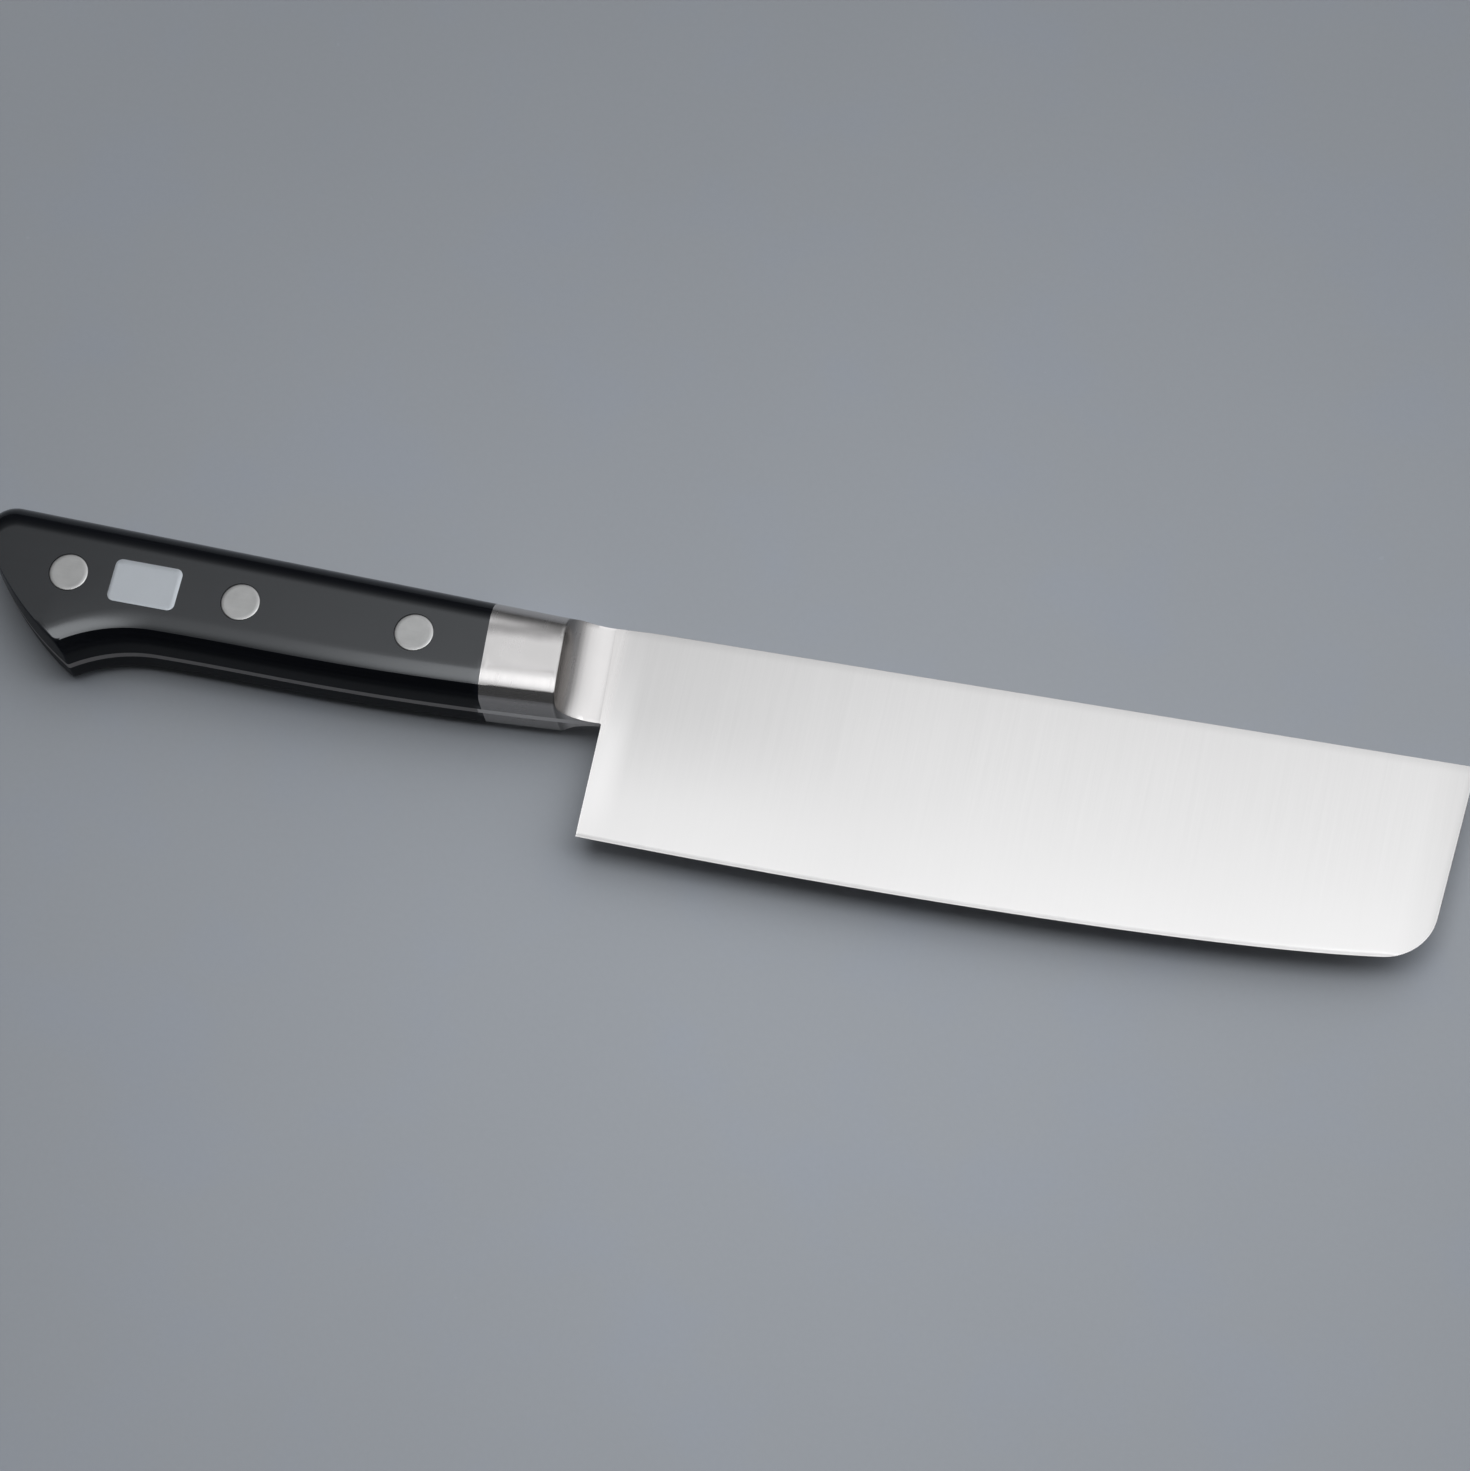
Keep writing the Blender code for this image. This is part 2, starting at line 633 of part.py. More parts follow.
main()
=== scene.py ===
"""Nakiri knife: finished pieces, materials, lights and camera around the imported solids."""
import math

import bmesh
import bpy
import numpy as np
from bpy.props import FloatProperty, FloatVectorProperty, PointerProperty
from mathutils import Matrix, Vector, geometry


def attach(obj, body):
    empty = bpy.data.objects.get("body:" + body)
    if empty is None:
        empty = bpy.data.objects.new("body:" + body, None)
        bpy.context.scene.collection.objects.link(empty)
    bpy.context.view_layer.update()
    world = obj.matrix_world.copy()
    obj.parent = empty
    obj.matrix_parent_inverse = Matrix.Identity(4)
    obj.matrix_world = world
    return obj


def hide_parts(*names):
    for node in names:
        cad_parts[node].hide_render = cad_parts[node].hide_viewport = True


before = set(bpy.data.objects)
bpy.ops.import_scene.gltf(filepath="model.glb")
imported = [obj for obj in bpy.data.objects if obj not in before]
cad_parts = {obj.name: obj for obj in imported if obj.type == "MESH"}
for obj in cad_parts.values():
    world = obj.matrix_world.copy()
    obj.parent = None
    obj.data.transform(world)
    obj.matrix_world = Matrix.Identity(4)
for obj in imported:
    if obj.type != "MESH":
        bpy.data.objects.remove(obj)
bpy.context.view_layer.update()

bl_info = {
    "name": "Nakiri knife",
    "version": (1, 0, 0),
    "blender": (4, 5, 0),
    "location": "3D View > Sidebar > Knife",
    "description": "Full-tang vegetable knife with a scooped bolster and riveted black scales",
    "category": "Object",
}

# From the knife's own frame, with the heel of the edge at the origin, to the frame it lies in
PLACE = Vector((-0.018986, -0.022957, 0.009))

# Blade, whose grind starts just behind the heel and is complete past its run-out
FRONT_LEAN = math.radians(3.6)
TIP_RADIUS = 0.0100
EDGE_RISE_AT_TIP = 0.0030
EDGE_SLOPE_AT_TIP = math.radians(8.0)
EDGE_REACH_AT_TIP = 0.0250
EDGE_REACH_AT_HEEL = 0.0700
EDGE_SLOPE_AT_HEEL = math.radians(-1.7)
EDGE_BEVEL_HEIGHT = 0.0007
EDGE_BEVEL_HALF = 0.00015
EDGE_LAND_HALF = 0.00002
GRIND_CONVEXITY = 1.8
GRIND_ALLOWANCE = 0.00003
GRIND_START = -0.0012
GRIND_RUNOUT = 0.0072
CHIN_CONVEXITY = 1.2

# Notch behind the heel, and what tells its upright edges from others
NOTCH_RADIUS = 0.0008
NOTCH_REACH = 0.00005
NOTCH_EDGE = 0.0001

# Neck and bolster, with the rise and the reach past the joint from which an edge belongs to the scoop's rim
NECK_BLEND_BACK = 0.0120
NECK_BLEND_FRONT = 0.0090
JOINT_LEAN = math.radians(3.0)
SCOOP_SETBACK = 0.0008
SCOOP_RIM_RISE = 0.0016
SCOOP_RIM_AHEAD = 0.0020

# Handle: its top line, butt, finger hook and belly
HANDLE_RISE_AT_BUTT = 0.00375
BUTT_CORNER_BEHIND_JOINT = 0.0974
WALL_RADIUS = 0.0620
WALL_SLOPE = math.radians(31.0)
BEAK_BEHIND_JOINT = 0.08107
HOOK_BEHIND_JOINT = 0.0645
HOOK_DEPTH = 0.0210
HOOK_RADIUS = 0.0300
BELLY_REACH_AT_NECK = 0.0500
BELLY_SLOPE_AT_NECK = math.radians(3.4)
BELLY_REACH_AT_HOOK = 0.0250

# How far the handle's section is moved in: top, belly, wall, then the radii of its corner and its beak
TANG_SECTION = np.array((0.0, 0.0, 0.0, 0.0057, 0.0006))
FACE_SECTION = np.array((0.0061, 0.00212, 0.0006, 0.0040, 0.0012))

# Rivets, with the clearances in their holes and short of their ends
RIVET_PITCH = 0.03465
RIVET_FRONT_BEHIND_JOINT = 0.0141
RIVET_FRONT_DEPTH = 0.0109
RIVET_LINE_SLOPE = math.radians(0.65)
RIVET_HEAD_THICKNESS = 0.0020
RIVET_SHANK_RADIUS = 0.0025
RIVET_BORE_RADIUS = 0.0016
RIVET_BORE_FLOOR = 0.0020
RIVET_GAP = 0.0001
RIVET_EDGE = 0.00008
SOCKET_END_GAP = 0.0020
PIN_END_GAP = 0.0010
HOLE_RIM = 0.00025
RIVET_NAMES = ("front", "middle", "rear")

# Label
LABEL_SIZE = Vector((0.0135, 0.0088))
LABEL_RADIUS = 0.0014
LABEL_THICKNESS = 0.0001
LABEL_BEHIND_JOINT = 0.06795
LABEL_DEPTH = 0.0102
LABEL_TURN = math.radians(-1.1)
LABEL_CELL = 0.0012

# How far each face falls away towards the belly, over what breadth, and the borders that follow it
FACE_FALL = 0.00058
FACE_FALL_REACH = 0.0039
BORDER_DEPTHS = (0.0003, 0.0007, 0.0012, 0.0018, 0.0024, 0.0031, 0.0039)
BORDER_INSET = 0.0003
BORDER_STEP = 0.00008

# Underside of the handle: share of its inset for a share of the rise from the plate to the face
BELLY_RISES = (0.0, 0.318, 0.557, 0.673, 0.739, 0.787, 0.830, 0.890, 0.949, 1.0)
BELLY_INSETS = (0.0, 0.0, 0.030, 0.072, 0.140, 0.234, 0.362, 0.579, 0.809, 1.0)

# Clearances of the bonded and the welded joints, and the smallest distances that count
SEAM = 0.00002
CHEEK_SEAM = 0.0000005
SPOT = 1e-7
HAIR = 1e-6

# Breaks on the plate's edges, from the place where they start, and on the scoop's rim
PLATE_EDGE = 0.00005
PLATE_EDGE_START = 0.0005
SCOOP_EDGE = 0.00015

# Bends above which shading breaks, the plate's edges are eased and the scoop's rim is rounded
SMOOTH_ANGLE = math.radians(30)
PLATE_EDGE_ANGLE = math.radians(45)
SCOOP_RIM_ANGLE = math.radians(28)

# Steps of the curves, and how finely each loop and level is drawn
CURVE_STEPS = 200
BLEND_STEPS = 60
BEAK_STEPS = 6
TANG_ARC_STEPS = 14
SCALE_ARC_STEPS = 16
SCALE_STEPS_BELOW = 40
SCALE_STEPS_ABOVE = 36
SCALE_STEPS_AT_JOINT = 10
CHEEK_STEPS = 20
RIVET_STEPS = 48
CORNER_STEPS = 8
CROWN_LEVELS = 18
SCOOP_LEVELS = 26
SCOOP_CROWDING = 1.5
SOLVER_ROUNDS = 8

# Rows of the blade, and its columns as shares of the way from the heel to the front
TIP_ROWS = 15
LOW_ROWS = 7
NECK_ROWS = 11
HEEL_COLUMNS = (0.0, 0.003, 0.006, 0.010, 0.015, 0.020, 0.026, 0.033, 0.040)
BODY_START = 0.050
BODY_COLUMNS = 62
FRONT_COLUMNS = (0.980, 0.990, 0.9965, 1.0)

# Columns of the tang behind the heel, the last of them where even steps begin
NECK_COLUMNS = (-0.0004, -0.0008, -0.0012, -0.0018, -0.0026, -0.004, -0.007, -0.0105, -0.0145)
TANG_COLUMNS = 24

# Curvature, in 1/m, from which an edge starts to be worn and at which it is worn in full
WEAR_START = 300.0
WEAR_FULL = 1500.0

# How far an outer face has to lean down to count as underside, and over what range it comes in
UNDER_START = 0.45
UNDER_RANGE = 0.3

# Zones of the blade's finish and of its painted light and shade in the knife's own frame, as where each starts to
# change and where it ends
NECK_FADE_X = (-0.0010, 0.0026)
NECK_FADE_Y = (0.0190, 0.0245)
NECK_FRAY = 0.0008
TANG_FADE_X = (-0.0245, -0.0240)
UNDER_FADE_X = (-0.0020, -0.0005)
HIGH_FADE_Y = (0.006, 0.030)
HEEL_FADE_X = (0.006, 0.060)
FAR_FADE_X = (0.060, 0.150)
SPINE_SHADE = (0.0, 0.0020)
FRONT_SHADE = (0.0, 0.0016)
NEAR_FRONT = (0.0008, 0.0075)

# Zones of the bolster's finish and of its painted shade
BOLSTER_LOW_Y = (0.0235, 0.0255)
BOLSTER_BAND_Y = (0.0262, 0.0300)
SCOOP_FADE_X = (-0.0095, -0.0080)
# Painted dark reflection streak on the bolster's face: its start below the spine, pivot, lean, fraying and fades
DARK_REFLECTION_START = 0.0005
DARK_REFLECTION_PIVOT = 0.018
DARK_REFLECTION_LEAN = 0.06
DARK_REFLECTION_FRAY = 0.0012
DARK_REFLECTION_FADE_IN = (0.0046, 0.0062)
DARK_REFLECTION_FADE_OUT = (0.0064, 0.0088)
RIM_SHADE_IN = (-0.0096, -0.0091)
RIM_SHADE_OUT = (-0.0089, -0.0067)

# Softboxes: name, middle, length and breadth, then tilt and swing in degrees
SOFTBOXES = (
    ("overhead_softbox", (0.40, 0.03, 1.50), (1.60, 0.60), (0.0, 0.0)),
    ("side_softbox", (1.80, 0.60, 0.85), (1.10, 1.10), (70.0, 20.0)),
)
DAYLIGHT = (0.92, 0.96, 1.0)

# Table, room and camera
TABLE_RADIUS = 3.0
TABLE_SIDES = 96
TABLE_GAP = 0.00005
# Middle and reach of the painted pool of light on the table
LIGHT_POOL_CENTRE = (0.035, -0.04, 0.0)
LIGHT_POOL_REACH = 0.26
PATCH_COLOUR = (0.52, 0.545, 0.60, 1.0)
ROOM_WALLS = 1.33
ROOM_SHADE = 0.03
ROOM_DARK_SIDE = 0.06
CAMERA_SENSOR = 36.0
CAMERA_LENS = 159.07
CAMERA_CLIP = (0.05, 20.0)
CAMERA_PLACE = Vector((0.2345, -0.4044, 1.1420))
CAMERA_RIGHT = Vector((0.97255, 0.21078, -0.09855))
CAMERA_DOWN = Vector((0.16022, -0.91379, -0.37326))
CAMERA_AHEAD = Vector((-0.16873, 0.34722, -0.92248))


def size_property(name, description, default, low, high, precision=4):
    """Length setting of the knife."""
    return FloatProperty(name=name, description=description, default=default, min=low, max=high,
                         unit="LENGTH", precision=precision)


def colour_property(name, description, default):
    """Colour setting of a finish."""
    return FloatVectorProperty(name=name, description=description, default=default, size=3,
                               min=0.0, max=1.0, subtype="COLOR")


def power_property(name, description, default):
    """Power setting of a softbox."""
    return FloatProperty(name=name, description=description, default=default, min=0.0, max=500.0, subtype="POWER")


class KnifeSizes(bpy.types.PropertyGroup):
    """Driving sizes of the knife."""

    blade_length: size_property("Blade length", "From the heel to the front of the spine", 0.1650, 0.12, 0.20)
    blade_height: size_property("Blade height", "From the heel of the edge to the spine", 0.0431, 0.035, 0.055)
    plate_thickness: size_property("Plate thickness", "Thickness of the tang and the heel", 0.0018, 0.0012, 0.003)
    front_thickness: size_property("Front thickness", "Thickness of the spine at the front", 0.0014, 0.0008, 0.003)
    neck_depth: size_property("Neck depth", "From the spine down to the notch behind the heel", 0.0200, 0.015, 0.03)
    bolster_length: size_property("Bolster length", "From the heel back to the scales", 0.0240, 0.015, 0.04)
    scoop_radius: size_property("Scoop radius", "Radius of the hollow in front of the bolster", 0.0084, 0.0081, 0.012)
    handle_thickness: size_property("Handle thickness", "Across both scales", 0.0180, 0.014, 0.024)
    rivet_head_radius: size_property("Rivet head radius", "Radius of a rivet's head", 0.00379, 0.002, 0.005, 5)


class KnifeFinish(bpy.types.PropertyGroup):
    """Colours of the knife's finishes and levels of the light on its stage."""

    blade_colour: colour_property("Blade", "Ground steel of the blade", (0.665, 0.635, 0.612))
    neck_colour: colour_property("Neck", "Polished steel of the neck", (0.79, 0.745, 0.715))
    bolster_colour: colour_property("Bolster", "Polished steel of the bolster", (0.685, 0.646, 0.622))
    tang_colour: colour_property("Tang", "Sanded edge of the tang", (0.27, 0.25, 0.24))
    wood_colour: colour_property("Wood", "Black laminated wood", (0.0024, 0.0030, 0.0048))
    fibre_colour: colour_property("Fibres", "Fibres in the wood", (0.0050, 0.0056, 0.0082))
    rivet_colour: colour_property("Rivets", "Sanded steel of the rivets", (0.45, 0.437, 0.422))
    label_colour: colour_property("Label", "Silver label", (0.575, 0.59, 0.61))
    floor_colour: colour_property("Floor", "Pale grey table", (0.53, 0.545, 0.575))
    lamp_power: power_property("Lamp", "Power of the overhead softbox", 4.4)
    side_power: power_property("Side lamp", "Power of the softbox beyond the blade", 0.3)
    room_level: FloatProperty(name="Room", description="Level of the room's own light", default=1.0,
                              min=0.0, max=2.0)


def direction(angle):
    """Unit vector at an angle from +X."""
    return Vector((math.cos(angle), math.sin(angle)))


def bearing(vector):
    """Angle of a flat vector from +X."""
    return math.atan2(vector.y, vector.x)


def lerp(a, b, share):
    """Value that lies a given share of the way from a to b."""
    return a + (b - a) * share


def smooth_step(value):
    """Ease from 0 to 1 while value goes from 0 to 1."""
    value = min(max(value, 0.0), 1.0)
    return value * value * (3.0 - 2.0 * value)


def arc(centre, radius, start, end, steps):
    """Points of an arc from angle start to angle end, without the last one."""
    return [centre + radius * direction(lerp(start, end, i / steps)) for i in range(steps)]


def cubic(start, start_handle, end_handle, end, steps):
    """Points of a cubic curve, both ends included."""
    return geometry.interpolate_bezier(start, start_handle, end_handle, end, steps + 1)


def spread(start, end, steps):
    """Evenly spaced numbers from start to end, without the last one."""
    return [lerp(start, end, i / steps) for i in range(steps)]


def side_points(side, start, end, steps):
    """Points of a side, given as a function of the position, without the last one."""
    return [Vector((x, side(x))) for x in spread(start, end, steps)]


def chord(start, end, steps):
    """Evenly spaced points of a straight line, without the last one."""
    return [start.lerp(end, i / steps) for i in range(steps)]


class SideView:
    """Side view of the knife in its own frame, worked out from the driving sizes."""

    def __init__(self, sizes):
        self.length = sizes.blade_length
        self.height = sizes.blade_height
        self.neck_y = self.height - sizes.neck_depth
        self.half_plate = sizes.plate_thickness / 2
        self.half_front = sizes.front_thickness / 2
        self.half_handle = sizes.handle_thickness / 2
        self.scoop_radius = sizes.scoop_radius
        self.head_radius = sizes.rivet_head_radius
        self.joint_x = -sizes.bolster_length
        self.joint_y = self.height - sizes.neck_depth / 2
        self.top_slope = -HANDLE_RISE_AT_BUTT / BUTT_CORNER_BEHIND_JOINT
        self.make_rail()
        self.make_belly()
        self.make_neck_top()

    def make_rail(self):
        """Cutting edge from the heel to the round of the lower front corner."""
        y = EDGE_RISE_AT_TIP + TIP_RADIUS * math.cos(EDGE_SLOPE_AT_TIP)
        self.tip_centre = Vector((self.front_x(y) - TIP_RADIUS / math.cos(FRONT_LEAN), y))
        tip = self.tip_centre + TIP_RADIUS * direction(EDGE_SLOPE_AT_TIP - math.pi / 2)
        heel_handle = EDGE_REACH_AT_HEEL * direction(EDGE_SLOPE_AT_HEEL)
        tip_handle = tip - EDGE_REACH_AT_TIP * direction(EDGE_SLOPE_AT_TIP)
        rail = cubic(Vector((0.0, 0.0)), heel_handle, tip_handle, tip, CURVE_STEPS)
        self.rail_end = tip.x
        self.rail_xs = [point.x for point in rail]
        self.rail_ys = [point.y for point in rail]

    def make_belly(self):
        """Underside of the handle from the notch to the top of the finger hook."""
        notch = Vector((0.0, self.neck_y))
        self.hook_centre = Vector((self.joint_x - HOOK_BEHIND_JOINT, self.height - HOOK_DEPTH - HOOK_RADIUS))
        hook_top = self.hook_centre + Vector((0.0, HOOK_RADIUS))
        notch_handle = notch - BELLY_REACH_AT_NECK * direction(BELLY_SLOPE_AT_NECK)
        hook_handle = hook_top + Vector((BELLY_REACH_AT_HOOK, 0.0))
        belly = cubic(notch, notch_handle, hook_handle, hook_top, CURVE_STEPS)
        belly.reverse()
        self.belly_xs = [point.x for point in belly]
        self.belly_ys = [point.y for point in belly]

    def make_neck_top(self):
        """Blend from the handle's top line into the blade's spine."""
        start = Vector((-NECK_BLEND_BACK, self.line_y(-NECK_BLEND_BACK)))
        end = Vector((NECK_BLEND_FRONT, self.height))
        handle = start + NECK_BLEND_FRONT * direction(math.atan(self.top_slope))
        blend = cubic(start, handle, end - Vector((NECK_BLEND_FRONT, 0.0)), end, BLEND_STEPS)
        self.blend_xs = [point.x for point in blend]
        self.blend_ys = [point.y for point in blend]

    def front_x(self, y):
        """Position of the blade's front line at a height."""
        return self.length - (self.height - y) * math.tan(FRONT_LEAN)

    def rail_y(self, x):
        """Height of the cutting edge."""
        return float(np.interp(x, self.rail_xs, self.rail_ys))

    def belly_y(self, x):
        """Height of the handle's underside."""
        return float(np.interp(x, self.belly_xs, self.belly_ys))

    def line_y(self, x):
        """Height of the handle's straight top line."""
        return self.height + self.top_slope * (x - self.joint_x)

    def top_y(self, x):
        """Height of the top of the handle, the neck or the blade."""
        if x < -NECK_BLEND_BACK:
            return self.line_y(x)
        return float(np.interp(x, self.blend_xs, self.blend_ys))

    def half_thickness(self, x, y):
        """Half thickness of the ground blade and its neck."""
        rise = y - self.rail_y(x)
        if rise <= EDGE_BEVEL_HEIGHT and y < self.neck_y:
            return max(EDGE_BEVEL_HALF * rise / EDGE_BEVEL_HEIGHT, EDGE_LAND_HALF)
        along = min(max(x / self.length, 0.0), 1.0)
        spine = lerp(self.half_plate - GRIND_ALLOWANCE, self.half_front, along)
        share = (rise - EDGE_BEVEL_HEIGHT) / (self.height - EDGE_BEVEL_HEIGHT)
        ground = lerp(spine, EDGE_BEVEL_HALF, max(1.0 - share, 0.0) ** GRIND_CONVEXITY)
        share = (rise - EDGE_BEVEL_HEIGHT) / (self.neck_y - EDGE_BEVEL_HEIGHT)
        chin = lerp(self.half_plate, EDGE_BEVEL_HALF, max(1.0 - share, 0.0) ** CHIN_CONVEXITY)
        return lerp(chin, ground, smooth_step((x - GRIND_START) / GRIND_RUNOUT))

    def row_point(self, row, share):
        """Point of the blade on a row, given by its rise at the heel, a share of the way to the front."""
        x_end = self.rail_end
        if row > 0.0:
            for _ in range(SOLVER_ROUNDS):
                x_end = self.boundary_x(self.row_y(row, x_end))
        x = share * x_end
        y = self.row_y(row, x)
        return Vector((x, y, self.half_thickness(x, y)))

    def row_y(self, row, x):
        """Height of a row of the blade, which bends from the edge's line to the spine's."""
        share = row / self.height
        return row + (1.0 - share) * self.rail_y(x) + share ** 4 * (self.top_y(x) - self.height)

    def boundary_x(self, y):
        """Position of the blade's front outline at a height."""
        rise = y - self.tip_centre.y
        if rise < -TIP_RADIUS * math.sin(FRONT_LEAN):
            return self.tip_centre.x + math.sqrt(max(TIP_RADIUS ** 2 - rise ** 2, 0.0))
        return self.front_x(y)

    def joint_line(self, y):
        """Position of the joint between bolster and scales at a height."""
        return self.joint_x - math.tan(JOINT_LEAN) * (y - self.joint_y)

    def scoop_line(self, y, z):
        """Position of the scoop's surface at a height above the edge and off the plate."""
        drop = self.half_plate + self.scoop_radius - z
        reach = math.sqrt(max(self.scoop_radius ** 2 - drop ** 2, 0.0))
        return -SCOOP_SETBACK - reach / math.cos(JOINT_LEAN) - math.tan(JOINT_LEAN) * (y - self.joint_y)

    def butt(self, section, steps):
        """Points round the hook, beak, wall and corner for a section, and the end of the corner."""
        top, belly, wall, corner_radius, beak_radius = (float(value) for value in section)
        reach = HOOK_BEHIND_JOINT - BEAK_BEHIND_JOINT
        beak = self.hook_centre + Vector((reach, math.sqrt(HOOK_RADIUS ** 2 - reach ** 2)))
        wall_centre = beak + WALL_RADIUS * direction(math.pi / 2 - WALL_SLOPE)
        wall_radius = WALL_RADIUS - wall
        hook_radius = HOOK_RADIUS + belly
        crossings = geometry.intersect_sphere_sphere_2d(
            self.hook_centre, hook_radius + beak_radius, wall_centre, wall_radius - beak_radius)
        beak_centre = min(crossings, key=lambda point: (point - beak).length)
        to_beak = bearing(beak_centre - self.hook_centre)
        wall_start = bearing(beak_centre - wall_centre)
        slope = math.atan(self.top_slope)
        drop = top + corner_radius / math.cos(slope)
        rear = Vector((wall_centre.x - WALL_RADIUS, self.line_y(wall_centre.x - WALL_RADIUS) - drop))
        front = Vector((self.joint_x, self.line_y(self.joint_x) - drop))
        crossings = geometry.intersect_line_sphere_2d(rear, front, wall_centre, wall_radius - corner_radius)
        corner_centre = min((point for point in crossings if point), key=lambda point: point.x)
        wall_end = bearing(corner_centre - wall_centre)
        corner_end = slope - 1.5 * math.pi
        points = arc(self.hook_centre, hook_radius, math.pi / 2, to_beak, steps)
        points += arc(beak_centre, beak_radius, to_beak - math.pi, wall_start, BEAK_STEPS)
        points += arc(wall_centre, wall_radius, wall_start, wall_end, steps)
        points += arc(corner_centre, corner_radius, wall_end, corner_end, steps)
        points.append(corner_centre + corner_radius * direction(corner_end))
        return points

    def crossing(self, line, side):
        """Position where a leaning line meets a side of the handle, both given as functions."""
        x = line(self.joint_y)
        for _ in range(SOLVER_ROUNDS):
            x = line(side(x))
        return x

    def sides(self, section):
        """Underside and top of the handle for a section, as functions of the position."""
        def below(x):
            return self.belly_y(x) + section[1]

        def above(x):
            return self.top_y(x) - section[0]

        return below, above

    def scale_loop(self, section, z, gap):
        """Closed level loop round one scale at a height off the plate."""
        below, above = self.sides(section)

        def joint(y):
            return self.joint_line(y) - gap

        low = self.crossing(joint, below)
        high = self.crossing(joint, above)
        butt = self.butt(section, SCALE_ARC_STEPS)
        points = side_points(below, low, self.hook_centre.x, SCALE_STEPS_BELOW) + butt[:-1]
        points += side_points(above, butt[-1].x, high, SCALE_STEPS_ABOVE)
        points += chord(Vector((high, above(high))), points[0], SCALE_STEPS_AT_JOINT)
        return [Vector((point.x, point.y, z)) for point in points]

    def cheek_loop(self, section, z, shrink):
        """Closed level loop round one cheek of the bolster at a height off the plate."""
        below, above = self.sides(section)

        def scoop(y):
            return self.scoop_line(y, z) - shrink

        def joint(y):
            return self.joint_line(y) + shrink

        low_rear = self.crossing(joint, below)
        low_front = self.crossing(scoop, below)
        high_front = self.crossing(scoop, above)
        high_rear = self.crossing(joint, above)
        low_corner = Vector((low_front, below(low_front)))
        high_corner = Vector((high_front, above(high_front)))
        points = side_points(below, low_rear, low_front, CHEEK_STEPS)
        points += chord(low_corner, high_corner, CHEEK_STEPS)
        points += side_points(above, high_front, high_rear, CHEEK_STEPS)
        points += chord(Vector((high_rear, above(high_rear))), points[0], CHEEK_STEPS)
        return [Vector((point.x, point.y, z)) for point in points]

    def depths(self, x, y):
        """Distances of a spot from the handle's underside and from its top line."""
        below = y - self.belly_y(x)
        if x < self.hook_centre.x:
            below = (Vector((x, y)) - self.hook_centre).length - HOOK_RADIUS
        return below, self.top_y(x) - y

    def drop(self, x, y):
        """How far a face has fallen away at a spot, towards the belly."""
        below, _ = self.depths(x, y)
        low = max(1.0 - (below - FACE_SECTION[1]) / FACE_FALL_REACH, 0.0)
        return FACE_FALL * low ** 2

    def face_z(self, x, y):
        """Height of the handle's crowned face above the middle of the plate."""
        share = max(1.0 - self.depths(x, y)[1] / FACE_SECTION[0], 0.0)
        reach = self.half_handle - self.half_plate
        return self.half_plate + reach * math.sqrt(1.0 - share ** 2) - self.drop(x, y)

    def rivet_places(self):
        """Middles of the three rivets."""
        front = Vector((self.joint_x - RIVET_FRONT_BEHIND_JOINT, self.height - RIVET_FRONT_DEPTH, 0.0))
        step = RIVET_PITCH * Vector((-math.cos(RIVET_LINE_SLOPE), math.sin(RIVET_LINE_SLOPE), 0.0))
        return [front + step * i for i in range(len(RIVET_NAMES))]


def side_view(context):
    """Side view for the sizes set in the scene."""
    return SideView(context.scene.knife_sizes)


def finish_mesh(bm, name, mirrored=False):
    """Object of a bmesh in the knife's frame, moved to where the knife lies and turned outwards."""
    if mirrored:
        bmesh.ops.scale(bm, vec=(1.0, 1.0, -1.0), verts=bm.verts[:])
    bmesh.ops.translate(bm, vec=PLACE, verts=bm.verts[:])
    bmesh.ops.remove_doubles(bm, verts=bm.verts[:], dist=SPOT)
    bmesh.ops.recalc_face_normals(bm, faces=bm.faces[:])
    mark(bm)
    mesh = bpy.data.meshes.new(name)
    bm.to_mesh(mesh)
    bm.free()
    mesh.shade_smooth()
    mesh.set_sharp_from_angle(angle=SMOOTH_ANGLE)
    piece = bpy.data.objects.new(name, mesh)
    bpy.context.scene.collection.objects.link(piece)
    return piece


def mark(bm):
    """Note on each vert how worn it is, by how sharply it bends, and how far it faces down, as the handle's underside
    does where the fingers hold it.
    """
    wear = bm.verts.layers.float.new("wear")
    downturn = bm.verts.layers.float.new("downturn")
    bm.normal_update()
    for edge in bm.edges:
        if len(edge.link_faces) != 2:
            continue
        across = (edge.link_faces[0].calc_center_median() - edge.link_faces[1].calc_center_median()).length
        bend = edge.calc_face_angle_signed(0.0) / max(across, HAIR)
        share = smooth_step((bend - WEAR_START) / (WEAR_FULL - WEAR_START))
        for vert in edge.verts:
            vert[wear] = max(vert[wear], share)
    for vert in bm.verts:
        outer = max((face.normal for face in vert.link_faces), key=lambda normal: abs(normal.z))
        vert[downturn] = smooth_step((-outer.y - UNDER_START) / UNDER_RANGE)


def seat(piece, material, slot, *nodes):
    """Give a piece its material, let it ride and let it stand for its CAD nodes."""
    piece.data.materials.append(material)
    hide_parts(*nodes)
    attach(piece, "root")


def ring(bm, points):
    """Closed ring of edges through points."""
    verts = [bm.verts.new(point) for point in points]
    return verts, [bm.edges.new((verts[i - 1], verts[i])) for i in range(len(verts))]


def grow(bm, verts, edges, points):
    """Extrude a chain of verts and its edges, and set the new verts on points."""
    grown = bmesh.ops.extrude_edge_only(bm, edges=edges)["geom"]
    fresh = {item for item in grown if isinstance(item, bmesh.types.BMVert)}
    tips = []
    for vert, point in zip(verts, points):
        tip = next(edge.other_vert(vert) for edge in vert.link_edges if edge.other_vert(vert) in fresh)
        tip.co = point
        tips.append(tip)
    rim = [item for item in grown if isinstance(item, bmesh.types.BMEdge)
           and item.verts[0] in fresh and item.verts[1] in fresh]
    return tips, rim


def midpoint(edge):
    """Middle of an edge."""
    return (edge.verts[0].co + edge.verts[1].co) / 2


